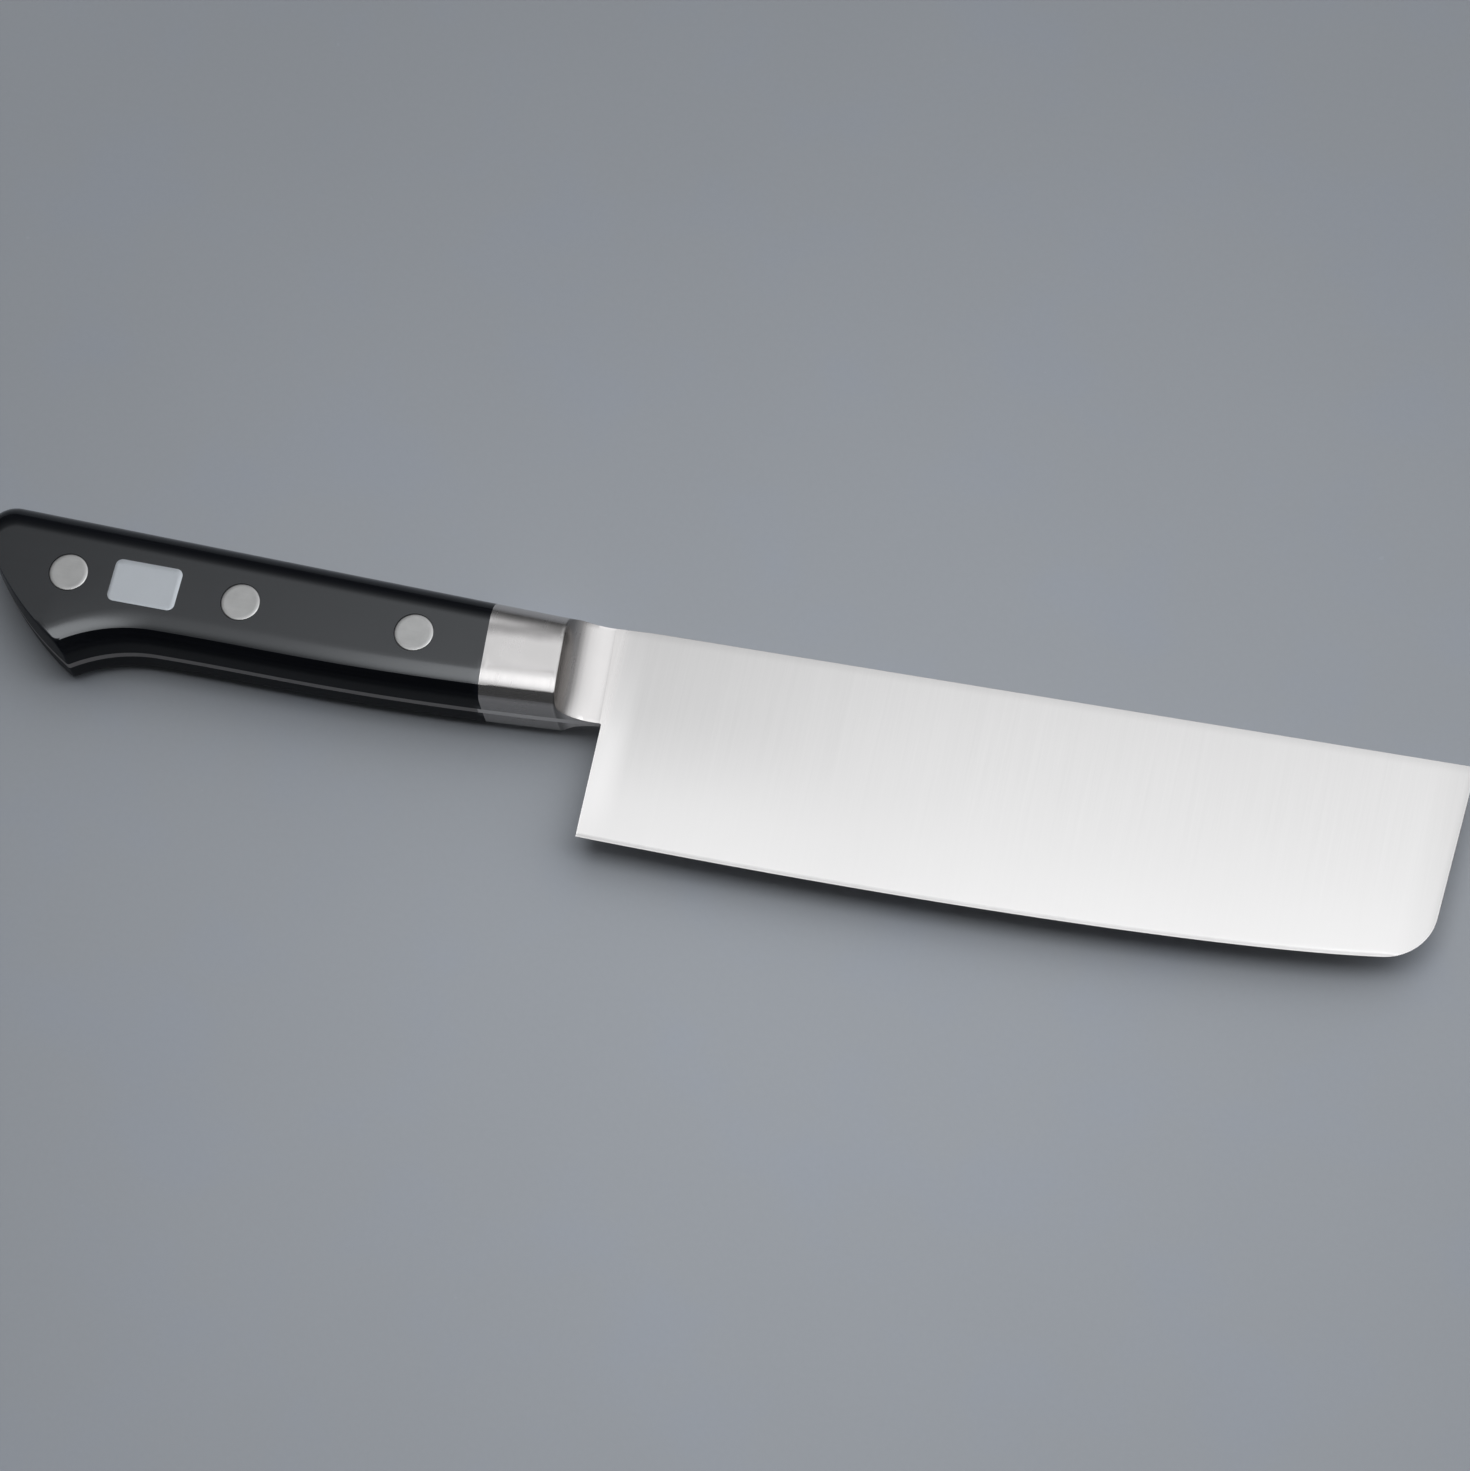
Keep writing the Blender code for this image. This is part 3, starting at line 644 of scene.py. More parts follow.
def ease(bm, edges, offset, segments):
    """Round edges over by an offset."""
    bmesh.ops.bevel(bm, geom=edges, offset=offset, offset_type="OFFSET", segments=segments, profile=0.5,
                    affect="EDGES", material=-1, clamp_overlap=True)


def levels(view, inner):
    """Heights off the plate at which the handle's section is drawn, close where it turns quickly."""
    reach = view.half_handle - inner
    rounded = [inner + reach * math.sin(math.pi / 2 * i / CROWN_LEVELS) for i in range(CROWN_LEVELS + 1)]
    axis = view.half_plate + view.scoop_radius
    start = math.acos(min((axis - inner) / view.scoop_radius, 1.0))
    end = math.acos((axis - view.half_handle) / view.scoop_radius)
    angles = [lerp(start, end, (i / SCOOP_LEVELS) ** SCOOP_CROWDING) for i in range(SCOOP_LEVELS + 1)]
    scoop = [axis - view.scoop_radius * math.cos(angle) for angle in angles]
    kept = []
    for z in sorted(rounded + scoop):
        if not kept or z - kept[-1] > HAIR:
            kept.append(min(max(z, inner), view.half_handle))
    kept[-1] = view.half_handle
    return kept


def section_at(view, inner, z):
    """Section of the handle at a height off the plate: an elliptic crown above, a bevelled belly below."""
    rise = (z - inner) / (view.half_handle - inner)
    share = np.full(len(TANG_SECTION), 1.0 - math.sqrt(max(1.0 - rise ** 2, 0.0)))
    share[1] = np.interp(rise, BELLY_RISES, BELLY_INSETS)
    return TANG_SECTION + (FACE_SECTION - TANG_SECTION) * share


def flat_faces(bm, height):
    """Faces that lie flat at a height."""
    return [face for face in bm.faces if all(abs(vert.co.z - height) < SPOT for vert in face.verts)]


def lattice(bm, height, size):
    """Cut the flat faces at a height into cells, so that they can follow a crowned face."""
    verts = {vert for face in flat_faces(bm, height) for vert in face.verts}
    low = Vector((min(vert.co.x for vert in verts), min(vert.co.y for vert in verts)))
    high = Vector((max(vert.co.x for vert in verts), max(vert.co.y for vert in verts)))
    cuts = [((0.0, y, 0.0), (0.0, 1.0, 0.0)) for y in np.arange(low.y + size / 2, high.y, size)]
    cuts += [((x, 0.0, 0.0), (1.0, 0.0, 0.0)) for x in np.arange(low.x + size / 2, high.x, size)]
    for place, normal in cuts:
        flat = flat_faces(bm, height)
        edges = {edge for face in flat for edge in face.edges}
        verts = {vert for face in flat for vert in face.verts}
        bmesh.ops.bisect_plane(bm, geom=[*verts, *edges, *flat], dist=2 * HAIR, plane_co=place, plane_no=normal,
                               clear_outer=False, clear_inner=False)


def borders():
    """Sections of the handle's face on its way in from its edge, and how far each has come in."""
    for i, depth in enumerate(BORDER_DEPTHS):
        inset = BORDER_INSET + BORDER_STEP * i
        yield FACE_SECTION + np.array((inset, depth, inset, -inset, inset)), inset


def crown(bm, view, base):
    """Let the outer side fall away towards the belly, from a base height that stays."""
    for vert in bm.verts:
        share = (vert.co.z - base) / (view.half_handle - base)
        if share > 0.0:
            vert.co.z -= view.drop(vert.co.x, vert.co.y) * min(share, 1.0)


def blade_mesh(view):
    """Ground blade and tang: the right side's sheet, its mirrored twin and the rim between them."""
    rows = [0.0, EDGE_BEVEL_HEIGHT]
    rows += [TIP_RADIUS * (1.0 - math.cos(math.radians(90.0 / TIP_ROWS * i))) for i in range(1, TIP_ROWS + 1)]
    rows += spread(TIP_RADIUS, view.neck_y, LOW_ROWS)[1:]
    rows += spread(view.neck_y, view.height, NECK_ROWS) + [view.height]
    rows.sort()
    columns = [*HEEL_COLUMNS, *spread(BODY_START, FRONT_COLUMNS[0], BODY_COLUMNS), *FRONT_COLUMNS]
    bm = bmesh.new()
    honed = bm.verts.layers.float.new("honed")
    bmesh.ops.create_grid(bm, x_segments=len(columns) - 1, y_segments=len(rows) - 1, size=1.0)
    places = [(row, column) for row in rows for column in columns]
    for vert, (row, column) in zip(bm.verts, places):
        vert.co = view.row_point(row, column)
        vert[honed] = float(row <= EDGE_BEVEL_HEIGHT)
    bm.verts.ensure_lookup_table()
    neck_row = rows.index(view.neck_y)
    chain = [bm.verts[i * len(columns)] for i in range(neck_row, len(rows))]
    grow_tang(bm, view, chain)
    bmesh.ops.remove_doubles(bm, verts=bm.verts[:], dist=SPOT)
    rim = [edge for edge in bm.edges if edge.is_boundary]
    around = bmesh.ops.extrude_edge_only(bm, edges=rim)["geom"]
    fresh = {item for item in around if isinstance(item, bmesh.types.BMVert)}
    wall = {item for item in around if isinstance(item, bmesh.types.BMFace)}
    for vert in fresh:
        vert.co.z = -vert.co.z
    sheet = [face for face in bm.faces if face not in wall]
    twin = bmesh.ops.duplicate(bm, geom=sheet)["geom"]
    for item in twin:
        if isinstance(item, bmesh.types.BMVert):
            item.co.z = -item.co.z
    bmesh.ops.remove_doubles(bm, verts=bm.verts[:], dist=SPOT)
    bmesh.ops.recalc_face_normals(bm, faces=bm.faces[:])
    soften_plate(bm, view)
    return bm


def grow_tang(bm, view, chain):
    """Carry the blade's sheet back along the tang to its butt."""
    edges = [bm.edges.get((a, b)) for a, b in zip(chain, chain[1:])]
    butt = view.butt(TANG_SECTION, TANG_ARC_STEPS)
    corner = butt[-TANG_ARC_STEPS - 1:]
    rear = butt[:-TANG_ARC_STEPS - 1]
    half = TANG_ARC_STEPS // 2
    xs = [*NECK_COLUMNS[:-1], *spread(NECK_COLUMNS[-1], view.hook_centre.x, TANG_COLUMNS)]
    lower = [Vector((x, view.belly_y(x))) for x in xs] + rear + corner[:half + 1]
    upper = [Vector((x, view.top_y(x))) for x in xs]
    upper += side_points(view.line_y, view.hook_centre.x, butt[-1].x, len(rear)) + corner[:half - 1:-1]
    verts = chain
    for low, high in zip(lower, upper):
        points = []
        for i in range(len(chain)):
            spot = low.lerp(high, i / (len(chain) - 1))
            z = view.half_thickness(spot.x, spot.y) if spot.x > GRIND_START else view.half_plate
            points.append((spot.x, spot.y, z))
        verts, edges = grow(bm, verts, edges, points)


def soften_plate(bm, view):
    """Round the notch behind the heel and break the sharp edges of the spine and the front."""
    notch = [edge for edge in bm.edges
             if all(abs(vert.co.x) < HAIR and abs(vert.co.y - view.neck_y) < NOTCH_REACH for vert in edge.verts)
             and abs(edge.verts[0].co.z - edge.verts[1].co.z) > NOTCH_EDGE]
    ease(bm, notch, NOTCH_RADIUS, segments=5)
    long_edges = []
    for edge in bm.edges:
        if len(edge.link_faces) == 2 and edge.calc_face_angle() > PLATE_EDGE_ANGLE:
            middle = midpoint(edge)
            outer = middle.x > PLATE_EDGE_START and abs(middle.z) > 2 * EDGE_BEVEL_HALF
            if outer and edge.verts[0].co.z * edge.verts[1].co.z > 0:
                long_edges.append(edge)
    ease(bm, long_edges, PLATE_EDGE, segments=1)


def cheek_mesh(view):
    """One cheek of the bolster, lofted level by level between the joint and the scoop."""
    inner = view.half_plate + CHEEK_SEAM
    heights = levels(view, inner)
    bm = bmesh.new()
    verts, edges = ring(bm, view.cheek_loop(section_at(view, inner, inner), inner, 0.0))
    bmesh.ops.contextual_create(bm, geom=edges)
    for z in heights[1:]:
        loop = view.cheek_loop(section_at(view, inner, z), z, 0.0)
        verts, edges = grow(bm, verts, edges, loop)
    for section, inset in borders():
        verts, edges = grow(bm, verts, edges, view.cheek_loop(section, view.half_handle, inset))
    bmesh.ops.contextual_create(bm, geom=edges)
    bmesh.ops.recalc_face_normals(bm, faces=bm.faces[:])
    scoop_rim = []
    for edge in bm.edges:
        middle = midpoint(edge)
        if middle.z > SCOOP_RIM_RISE and middle.x > view.joint_line(middle.y) + SCOOP_RIM_AHEAD:
            if edge.calc_face_angle(0.0) > SCOOP_RIM_ANGLE:
                scoop_rim.append(edge)
    ease(bm, scoop_rim, SCOOP_EDGE, segments=3)
    crown(bm, view, inner)
    return bm


def scale_mesh(view):
    """One handle scale with its stepped rivet holes."""
    inner = view.half_plate + SEAM
    heights = sorted({*levels(view, inner)[::2], view.half_handle})
    shank = RIVET_SHANK_RADIUS + RIVET_GAP
    head = view.head_radius + RIVET_GAP
    top = view.half_handle
    floor = top - RIVET_HEAD_THICKNESS
    bore = ((shank, floor), (head, floor), (head, top), (head + HOLE_RIM, top))
    bm = bmesh.new()
    verts, edges = ring(bm, view.scale_loop(section_at(view, inner, inner), inner, SEAM))
    holes = [circle(bm, place, shank, inner) for place in view.rivet_places()]
    fill(bm, edges, holes)
    for z in heights[1:]:
        verts, edges = grow(bm, verts, edges, view.scale_loop(section_at(view, inner, z), z, SEAM))
    for section, inset in borders():
        verts, edges = grow(bm, verts, edges, view.scale_loop(section, top, SEAM + inset))
    mouths = []
    for place, (hole_verts, hole_edges) in zip(view.rivet_places(), holes):
        for radius, z in bore:
            points = [lift(place, vert.co, radius, z) for vert in hole_verts]
            hole_verts, hole_edges = grow(bm, hole_verts, hole_edges, points)
        mouths.append((hole_verts, hole_edges))
    fill(bm, edges, mouths)
    crown(bm, view, inner)
    return bm


def circle(bm, place, radius, z):
    """Ring of edges about a rivet's axis."""
    angles = spread(0.0, math.tau, RIVET_STEPS)
    return ring(bm, [place + Vector((radius * math.cos(angle), radius * math.sin(angle), z)) for angle in angles])


def lift(place, spot, radius, z):
    """Point at another radius and height on the same side of a rivet's axis."""
    out = (Vector((spot.x, spot.y)) - Vector((place.x, place.y))).normalized() * radius
    return Vector((place.x + out.x, place.y + out.y, z))


def fill(bm, edges, holes):
    """Fill a flat outline but for its holes."""
    outlines = list(edges)
    for _, hole_edges in holes:
        outlines += hole_edges
    bmesh.ops.triangle_fill(bm, use_beauty=True, use_dissolve=False, edges=outlines)


def turned_mesh(view, profile, place):
    """Profile of radius and height turned about a rivet's axis, its head crowned with the face."""
    bm = bmesh.new()
    verts = [bm.verts.new((radius, 0.0, height)) for radius, height in profile]
    edges = [bm.edges.new(pair) for pair in zip(verts, verts[1:])]
    bmesh.ops.spin(bm, geom=verts + edges, cent=(0.0, 0.0, 0.0), axis=(0.0, 0.0, 1.0), dvec=(0.0, 0.0, 0.0),
                   angle=math.tau, steps=RIVET_STEPS, use_merge=True, use_duplicate=False)
    bmesh.ops.remove_doubles(bm, verts=bm.verts[:], dist=SPOT)
    bmesh.ops.translate(bm, vec=place, verts=bm.verts[:])
    crown(bm, view, view.half_handle - RIVET_HEAD_THICKNESS)
    return bm


def head_profile(view):
    """Outer part of a rivet's profile: a flat head with a broken edge."""
    top = view.half_handle
    head = view.head_radius
    inner = top - RIVET_HEAD_THICKNESS + SEAM
    rings = [(head * share, top) for share in (0.0, 0.2, 0.4, 0.6, 0.8)]
    rings += [(head - 3 * RIVET_EDGE, top), (head - RIVET_EDGE, top - RIVET_EDGE / 3), (head, top - RIVET_EDGE)]
    return rings + [(head, inner)]


def socket_profile(view):
    """Hollow half of a rivet: its head and shank, with the bore that takes the pin."""
    inner = view.half_handle - RIVET_HEAD_THICKNESS
    end = SOCKET_END_GAP - inner
    bore_top = inner - RIVET_BORE_FLOOR
    return head_profile(view) + [(RIVET_SHANK_RADIUS, inner + SEAM), (RIVET_SHANK_RADIUS, end),
                                 (RIVET_BORE_RADIUS, end), (RIVET_BORE_RADIUS, bore_top), (0.0, bore_top)]


def pin_profile(view):
    """Solid half of a rivet, which ends short of the bore's floor."""
    inner = view.half_handle - RIVET_HEAD_THICKNESS
    end = PIN_END_GAP + RIVET_BORE_FLOOR - inner
    radius = RIVET_BORE_RADIUS - RIVET_GAP
    return head_profile(view) + [(radius, inner + SEAM), (radius, end), (0.0, end)]


def label_mesh(view):
    """Thin label with round corners, laid on the right face."""
    half = LABEL_SIZE / 2 - Vector((LABEL_RADIUS, LABEL_RADIUS))
    outline = []
    for i, (x, y) in enumerate(((half.x, half.y), (-half.x, half.y), (-half.x, -half.y), (half.x, -half.y))):
        end = (i + 1) * math.pi / 2
        outline += arc(Vector((x, y)), LABEL_RADIUS, i * math.pi / 2, end, CORNER_STEPS)
        outline.append(Vector((x, y)) + LABEL_RADIUS * direction(end))
    bm = bmesh.new()
    base = [Vector((point.x, point.y, 0.0)) for point in outline]
    verts, edges = ring(bm, base)
    bmesh.ops.contextual_create(bm, geom=edges)
    for share, z in ((1.0, 0.9 * LABEL_THICKNESS), (0.995, LABEL_THICKNESS)):
        verts, edges = grow(bm, verts, edges, [point * share + Vector((0.0, 0.0, z)) for point in base])
    bmesh.ops.contextual_create(bm, geom=edges)
    bmesh.ops.rotate(bm, cent=(0.0, 0.0, 0.0), matrix=Matrix.Rotation(LABEL_TURN, 3, "Z"), verts=bm.verts[:])
    lattice(bm, LABEL_THICKNESS, LABEL_CELL)
    lattice(bm, 0.0, LABEL_CELL)
    place = (view.joint_x - LABEL_BEHIND_JOINT, view.height - LABEL_DEPTH, SEAM)
    bmesh.ops.translate(bm, vec=place, verts=bm.verts[:])
    for vert in bm.verts:
        vert.co.z += view.face_z(vert.co.x, vert.co.y)
    return bm


class Number:
    """Number socket of a material that can stand in a sum."""

    def __init__(self, paint, socket):
        self.paint = paint
        self.socket = socket

    def __add__(self, other):
        return self.paint.maths("ADD", self, other)

    def __radd__(self, other):
        return self.paint.maths("ADD", other, self)

    def __sub__(self, other):
        return self.paint.maths("SUBTRACT", self, other)

    def __rsub__(self, other):
        return self.paint.maths("SUBTRACT", other, self)

    def __mul__(self, other):
        return self.paint.maths("MULTIPLY", self, other)

    def __rmul__(self, other):
        return self.paint.maths("MULTIPLY", other, self)


class Paint:
    """Node tree of a material and the few ways it is built up."""

    def __init__(self, block, shader, coordinates):
        block.use_nodes = True
        self.block = block
        self.tree = block.node_tree
        self.shader = self.tree.nodes[shader]
        self.spot = self.node("ShaderNodeTexCoord").outputs[coordinates]

    def node(self, kind, settings=None, sockets=None):
        """Node of a kind, its settings made first and its sockets set or linked after."""
        node = self.tree.nodes.new(kind)
        for key, value in (settings or {}).items():
            setattr(node, key, value)
        for key, value in (sockets or {}).items():
            self.put(node.inputs[key], value)
        return node

    def put(self, socket, value):
        """Set a socket to a value or link it."""
        if isinstance(value, Number):
            value = value.socket
        if isinstance(value, bpy.types.NodeSocket):
            self.tree.links.new(value, socket)
        else:
            socket.default_value = value

    def maths(self, operation, first, second):
        """Two numbers added, subtracted or multiplied."""
        node = self.node("ShaderNodeMath", {"operation": operation}, {0: first, 1: second})
        return Number(self, node.outputs[0])

    def place(self, scale, turn=0.0):
        """Object coordinates stretched, and turned about the vertical by an angle in degrees."""
        sockets = {"Vector": self.spot, "Rotation": (0.0, 0.0, math.radians(turn)), "Scale": scale}
        return self.node("ShaderNodeMapping", {"vector_type": "POINT"}, sockets).outputs[0]

    def noise(self, where, scale, detail=2.0, roughness=0.5):
        """Noise from 0 to 1 about a middle of 0.5."""
        sockets = {"Vector": where, "Scale": scale, "Detail": detail, "Roughness": roughness}
        return Number(self, self.node("ShaderNodeTexNoise", None, sockets).outputs["Fac"])

    def between(self, value, low, high, out_low=0.0, out_high=1.0):
        """Smooth ramp of a number from one range to another."""
        sockets = {"Value": value, "From Min": low, "From Max": high, "To Min": out_low, "To Max": out_high}
        node = self.node("ShaderNodeMapRange", {"interpolation_type": "SMOOTHSTEP"}, sockets)
        return Number(self, node.outputs["Result"])

    def blend(self, share, first, second):
        """Mix of two colours."""
        node = self.node("ShaderNodeMix", {"data_type": "RGBA"}, {"Factor": share, "A": first, "B": second})
        return node.outputs["Result"]

    def side_axes(self):
        """Lengthwise and upright position in the knife's own frame."""
        node = self.node("ShaderNodeSeparateXYZ", None, {0: self.spot})
        return Number(self, node.outputs["X"]) - PLACE.x, Number(self, node.outputs["Y"]) - PLACE.y

    def bump(self, height, distance, strength, under=None):
        """Bump that feeds the normal, on top of the one under it."""
        sockets = {"Height": height, "Distance": distance, "Strength": strength}
        if under is not None:
            sockets["Normal"] = under
        return self.node("ShaderNodeBump", None, sockets).outputs["Normal"]

    def noted(self, name):
        """Number noted on the verts."""
        settings = {"attribute_name": name, "attribute_type": "GEOMETRY"}
        return Number(self, self.node("ShaderNodeAttribute", settings).outputs["Fac"])

    def worn(self, scale):
        """Wear along the edges, broken up by noise."""
        patches = (self.noise(self.spot, scale, 3.0) - 0.5) * 0.9
        return self.between(self.noted("wear") + patches, 0.35, 1.1)

    def facing(self):
        """How far the surface is turned from the view, from 0 to 1."""
        return Number(self, self.node("ShaderNodeLayerWeight", None, {"Blend": 0.5}).outputs["Facing"])

    def finish(self, **sockets):
        """Set the shader's sockets, with underscores for the spaces in their names."""
        for key, value in sockets.items():
            self.put(self.shader.inputs[key.replace("_", " ")], value)
        return self.block

    def grey(self, level):
        """Grey colour of a number."""
        return self.node("ShaderNodeCombineColor", None, {0: level, 1: level, 2: level}).outputs[0]

    def toned(self, colour, level):
        """Colour made lighter or darker by a number."""
        sockets = {"Factor": 1.0, "A": colour, "B": self.grey(level)}
        node = self.node("ShaderNodeMix", {"data_type": "RGBA", "blend_type": "MULTIPLY"}, sockets)
        return node.outputs["Result"]

    def along(self, axis):
        """Position along an axis through the origin."""
        node = self.node("ShaderNodeVectorMath", {"operation": "DOT_PRODUCT"}, {0: self.spot, 1: axis})
        return Number(self, node.outputs["Value"])


def paint_for(name):
    """Node tree of a new material of an object."""
    return Paint(bpy.data.materials.new(name), "Principled BSDF", "Object")


def four(colour):
    """Colour with its alpha."""
    return (*colour, 1.0)


def blade_steel(looks, view):
    """Satin steel with grind lines across the blade, brighter at the polished neck, sanded at the tang's edge, with
    painted light low at the heel and painted shade high at the heel, towards the front, along the spine and the front
    and on faces turned down behind the heel.
    """
    paint = paint_for("blade_steel")
    x, y = paint.side_axes()
    fine = paint.noise(paint.place((3400.0, 45.0, 45.0)), 1.0, 3.0, 0.6)
    broad = paint.noise(paint.place((420.0, 14.0, 14.0)), 1.0, 3.0, 0.6)
    cloud = paint.noise(paint.spot, 55.0, 3.0)
    worn = paint.worn(700.0)
    streak = (fine - 0.5) * 0.55 + (broad - 0.5) * 0.45
    # Zones along the blade, each 1 inside and 0 outside
    neck = 1.0 - paint.between(x + (broad - 0.5) * NECK_FRAY, *NECK_FADE_X)
    neck = neck * paint.between(y, *NECK_FADE_Y)
    tang = 1.0 - paint.between(x, *TANG_FADE_X)
    # Faces turned down behind the heel, which take painted shade
    under = paint.noted("downturn") * (1.0 - paint.between(x, *UNDER_FADE_X))
    high = paint.between(y, *HIGH_FADE_Y)
    # Heel and front zones for painted light and shade along the blade
    heel = 1.0 - paint.between(x, *HEEL_FADE_X)
    far = paint.between(x, *FAR_FADE_X)
    honed = paint.noted("honed")
    # Zones along the spine and the front, by the distance from them, which take painted shade
    spine = view.height - y
    front = view.length - spine * math.tan(FRONT_LEAN) - x
    spine_front_shade = (1.0 - tang) * (1.0 - paint.between(spine, *SPINE_SHADE) * paint.between(front, *FRONT_SHADE))
    near = 1.0 - paint.between(front, *NEAR_FRONT)
    tone = 1.0 + streak * (0.05 + high * 0.09) + (cloud - 0.5) * 0.03 + worn * 0.06
    # Painted light low at the heel, painted shade high at the heel and towards the front
    tone = tone * (1.0 + heel * (0.08 - high * 0.14) - far * 0.04)
    # Painted shade along the spine and the front, near the front and on faces turned down; the honed bevel is a tenth
    # darker
    tone = tone * (1.0 - spine_front_shade * 0.12) * (1.0 - near * 0.06) * (1.0 - honed * 0.10 - under * 0.15)
    colour = paint.blend(neck, four(looks.blade_colour), four(looks.neck_colour))
    colour = paint.blend(tang, colour, four(looks.tang_colour))
    rough = 0.30 + streak * 0.10 - neck * 0.05 + tang * 0.15 - worn * 0.06 + honed * 0.08
    normal = paint.bump(fine, 0.0000035, 0.6)
    normal = paint.bump(broad, 0.000010, 0.5, normal)
    return paint.finish(Base_Color=paint.toned(colour, tone), Metallic=1.0, Roughness=rough, Normal=normal)


def bolster_steel(looks, view):
    """Polished steel with faint hand-sanding marks round the cheek and along its underside, painted shade along the
    scoop's rim, in the scoop and on the face's lower part, and a painted dark reflection streak across the face.
    """
    paint = paint_for("bolster_steel")
    x, y = paint.side_axes()
    across = paint.noise(paint.place((1300.0, 40.0, 200.0), 3.0), 1.0)
    along = paint.noise(paint.place((40.0, 1300.0, 1300.0)), 1.0)
    cloud = paint.noise(paint.spot, 160.0, 3.0)
    worn = paint.worn(900.0)
    # Lower zones of the face, which take painted shade; the lowest also turns the sanding marks to run along the
    # underside
    low = 1.0 - paint.between(y, *BOLSTER_LOW_Y)
    band = 1.0 - paint.between(y, *BOLSTER_BAND_Y)
    # The scoop, which takes painted shade, and the face beside it
    scoop = paint.between(x, *SCOOP_FADE_X)
    face = 1.0 - scoop
    # Painted dark reflection: a dark streak along the face, which leans with the top line and wanders with the
    # clouding
    depth = (view.height - DARK_REFLECTION_START) - y + (x + DARK_REFLECTION_PIVOT) * DARK_REFLECTION_LEAN + (cloud - 0.5) * DARK_REFLECTION_FRAY
    dark_reflection = paint.between(depth, *DARK_REFLECTION_FADE_IN) * (1.0 - paint.between(depth, *DARK_REFLECTION_FADE_OUT))
    # Shade along the scoop's rim, which leans as the joint does
    ahead = x + (y - view.joint_y) * math.tan(JOINT_LEAN)
    shade = paint.between(ahead, *RIM_SHADE_IN) * paint.between(ahead, *RIM_SHADE_OUT, 0.66, 0.0)
    lines = across * (1.0 - low) + along * low
    tone = 1.0 + (lines - 0.5) * 0.06 + (cloud - 0.5) * 0.08 + worn * 0.12
    # Painted shade along the scoop's rim, in the scoop and on the face's lower zones, and the painted dark reflection
    # streak
    tone = tone * (1.0 - shade) * (1.0 - scoop * 0.10) * (1.0 - face * (low * 0.26 + band * 0.16 + dark_reflection * 0.46))
    toned = paint.toned(four(looks.bolster_colour), tone)
    rough = 0.26 + (lines - 0.5) * 0.08 + (cloud - 0.5) * 0.08 - worn * 0.05
    normal = paint.bump(lines, 0.0000015, 0.35)
    return paint.finish(Base_Color=toned, Metallic=1.0, Roughness=rough, Normal=normal)


def black_wood(looks):
    """Resin-filled laminated wood, black and glossy, with fine fibres along the handle."""
    paint = paint_for("black_laminated_wood")
    fibres = paint.noise(paint.place((18.0, 1500.0, 1500.0)), 1.0, 4.0, 0.65)
    pores = paint.noise(paint.place((60.0, 900.0, 900.0)), 1.0)
    cloud = paint.noise(paint.spot, 40.0)
    worn = paint.worn(500.0)
    downturn = paint.noted("downturn")
    colour = paint.blend(paint.between(fibres, 0.42, 0.72), four(looks.wood_colour), four(looks.fibre_colour))
    colour = paint.toned(colour, 1.0 + worn * 1.2)
    rough = 0.26 + (fibres - 0.5) * 0.10 + (cloud - 0.5) * 0.05 + worn * 0.08 + downturn * 0.15
    normal = paint.bump(fibres * 0.7 + pores * 0.3, 0.000004, 0.4)
    facing = paint.facing()
    gloss = paint.between(facing, 0.02, 0.35, 1.0, 0.31) + paint.between(facing, 0.60, 1.0, 0.0, 0.15)
    return paint.finish(Base_Color=colour, Roughness=rough, Normal=normal, Specular_IOR_Level=0.06,
                        Coat_Weight=gloss * (1.0 - downturn * 0.85), Coat_Roughness=0.14, Coat_IOR=1.75)


def rivet_steel(looks):
    """Rivet heads sanded flush with the scales, with crossing scratches."""
    paint = paint_for("rivet_steel")
    along = paint.noise(paint.place((90.0, 2600.0, 400.0), 8.0), 1.0, 2.0, 0.6)
    cross = paint.noise(paint.place((2200.0, 120.0, 400.0), -20.0), 1.0, 2.0, 0.6)
    cloud = paint.noise(paint.spot, 330.0)
    marks = along * 0.7 + cross * 0.3
    worn = paint.worn(1200.0)
    tone = 1.0 + (marks - 0.5) * 0.16 + (cloud - 0.5) * 0.30 + worn * 0.15
    toned = paint.toned(four(looks.rivet_colour), tone)
    rough = 0.36 + (marks - 0.5) * 0.14 - worn * 0.06
    normal = paint.bump(marks, 0.000005, 0.6)
    return paint.finish(Base_Color=toned, Metallic=1.0, Roughness=rough, Normal=normal)


def label_foil(looks):
    """Bare silver label with the faint grain of coated foil."""
    paint = paint_for("label_foil")
    grain = paint.noise(paint.spot, 2600.0, 3.0, 0.6)
    cloud = paint.noise(paint.spot, 260.0)
    worn = paint.worn(1500.0)
    tone = 1.0 + (grain - 0.5) * 0.06 + (cloud - 0.5) * 0.06 + worn * 0.10
    toned = paint.toned(four(looks.label_colour), tone)
    rough = 0.38 + (grain - 0.5) * 0.10 + worn * 0.10
    normal = paint.bump(grain, 0.000003, 0.4)
    return paint.finish(Base_Color=toned, Metallic=0.55, Roughness=rough, Normal=normal)


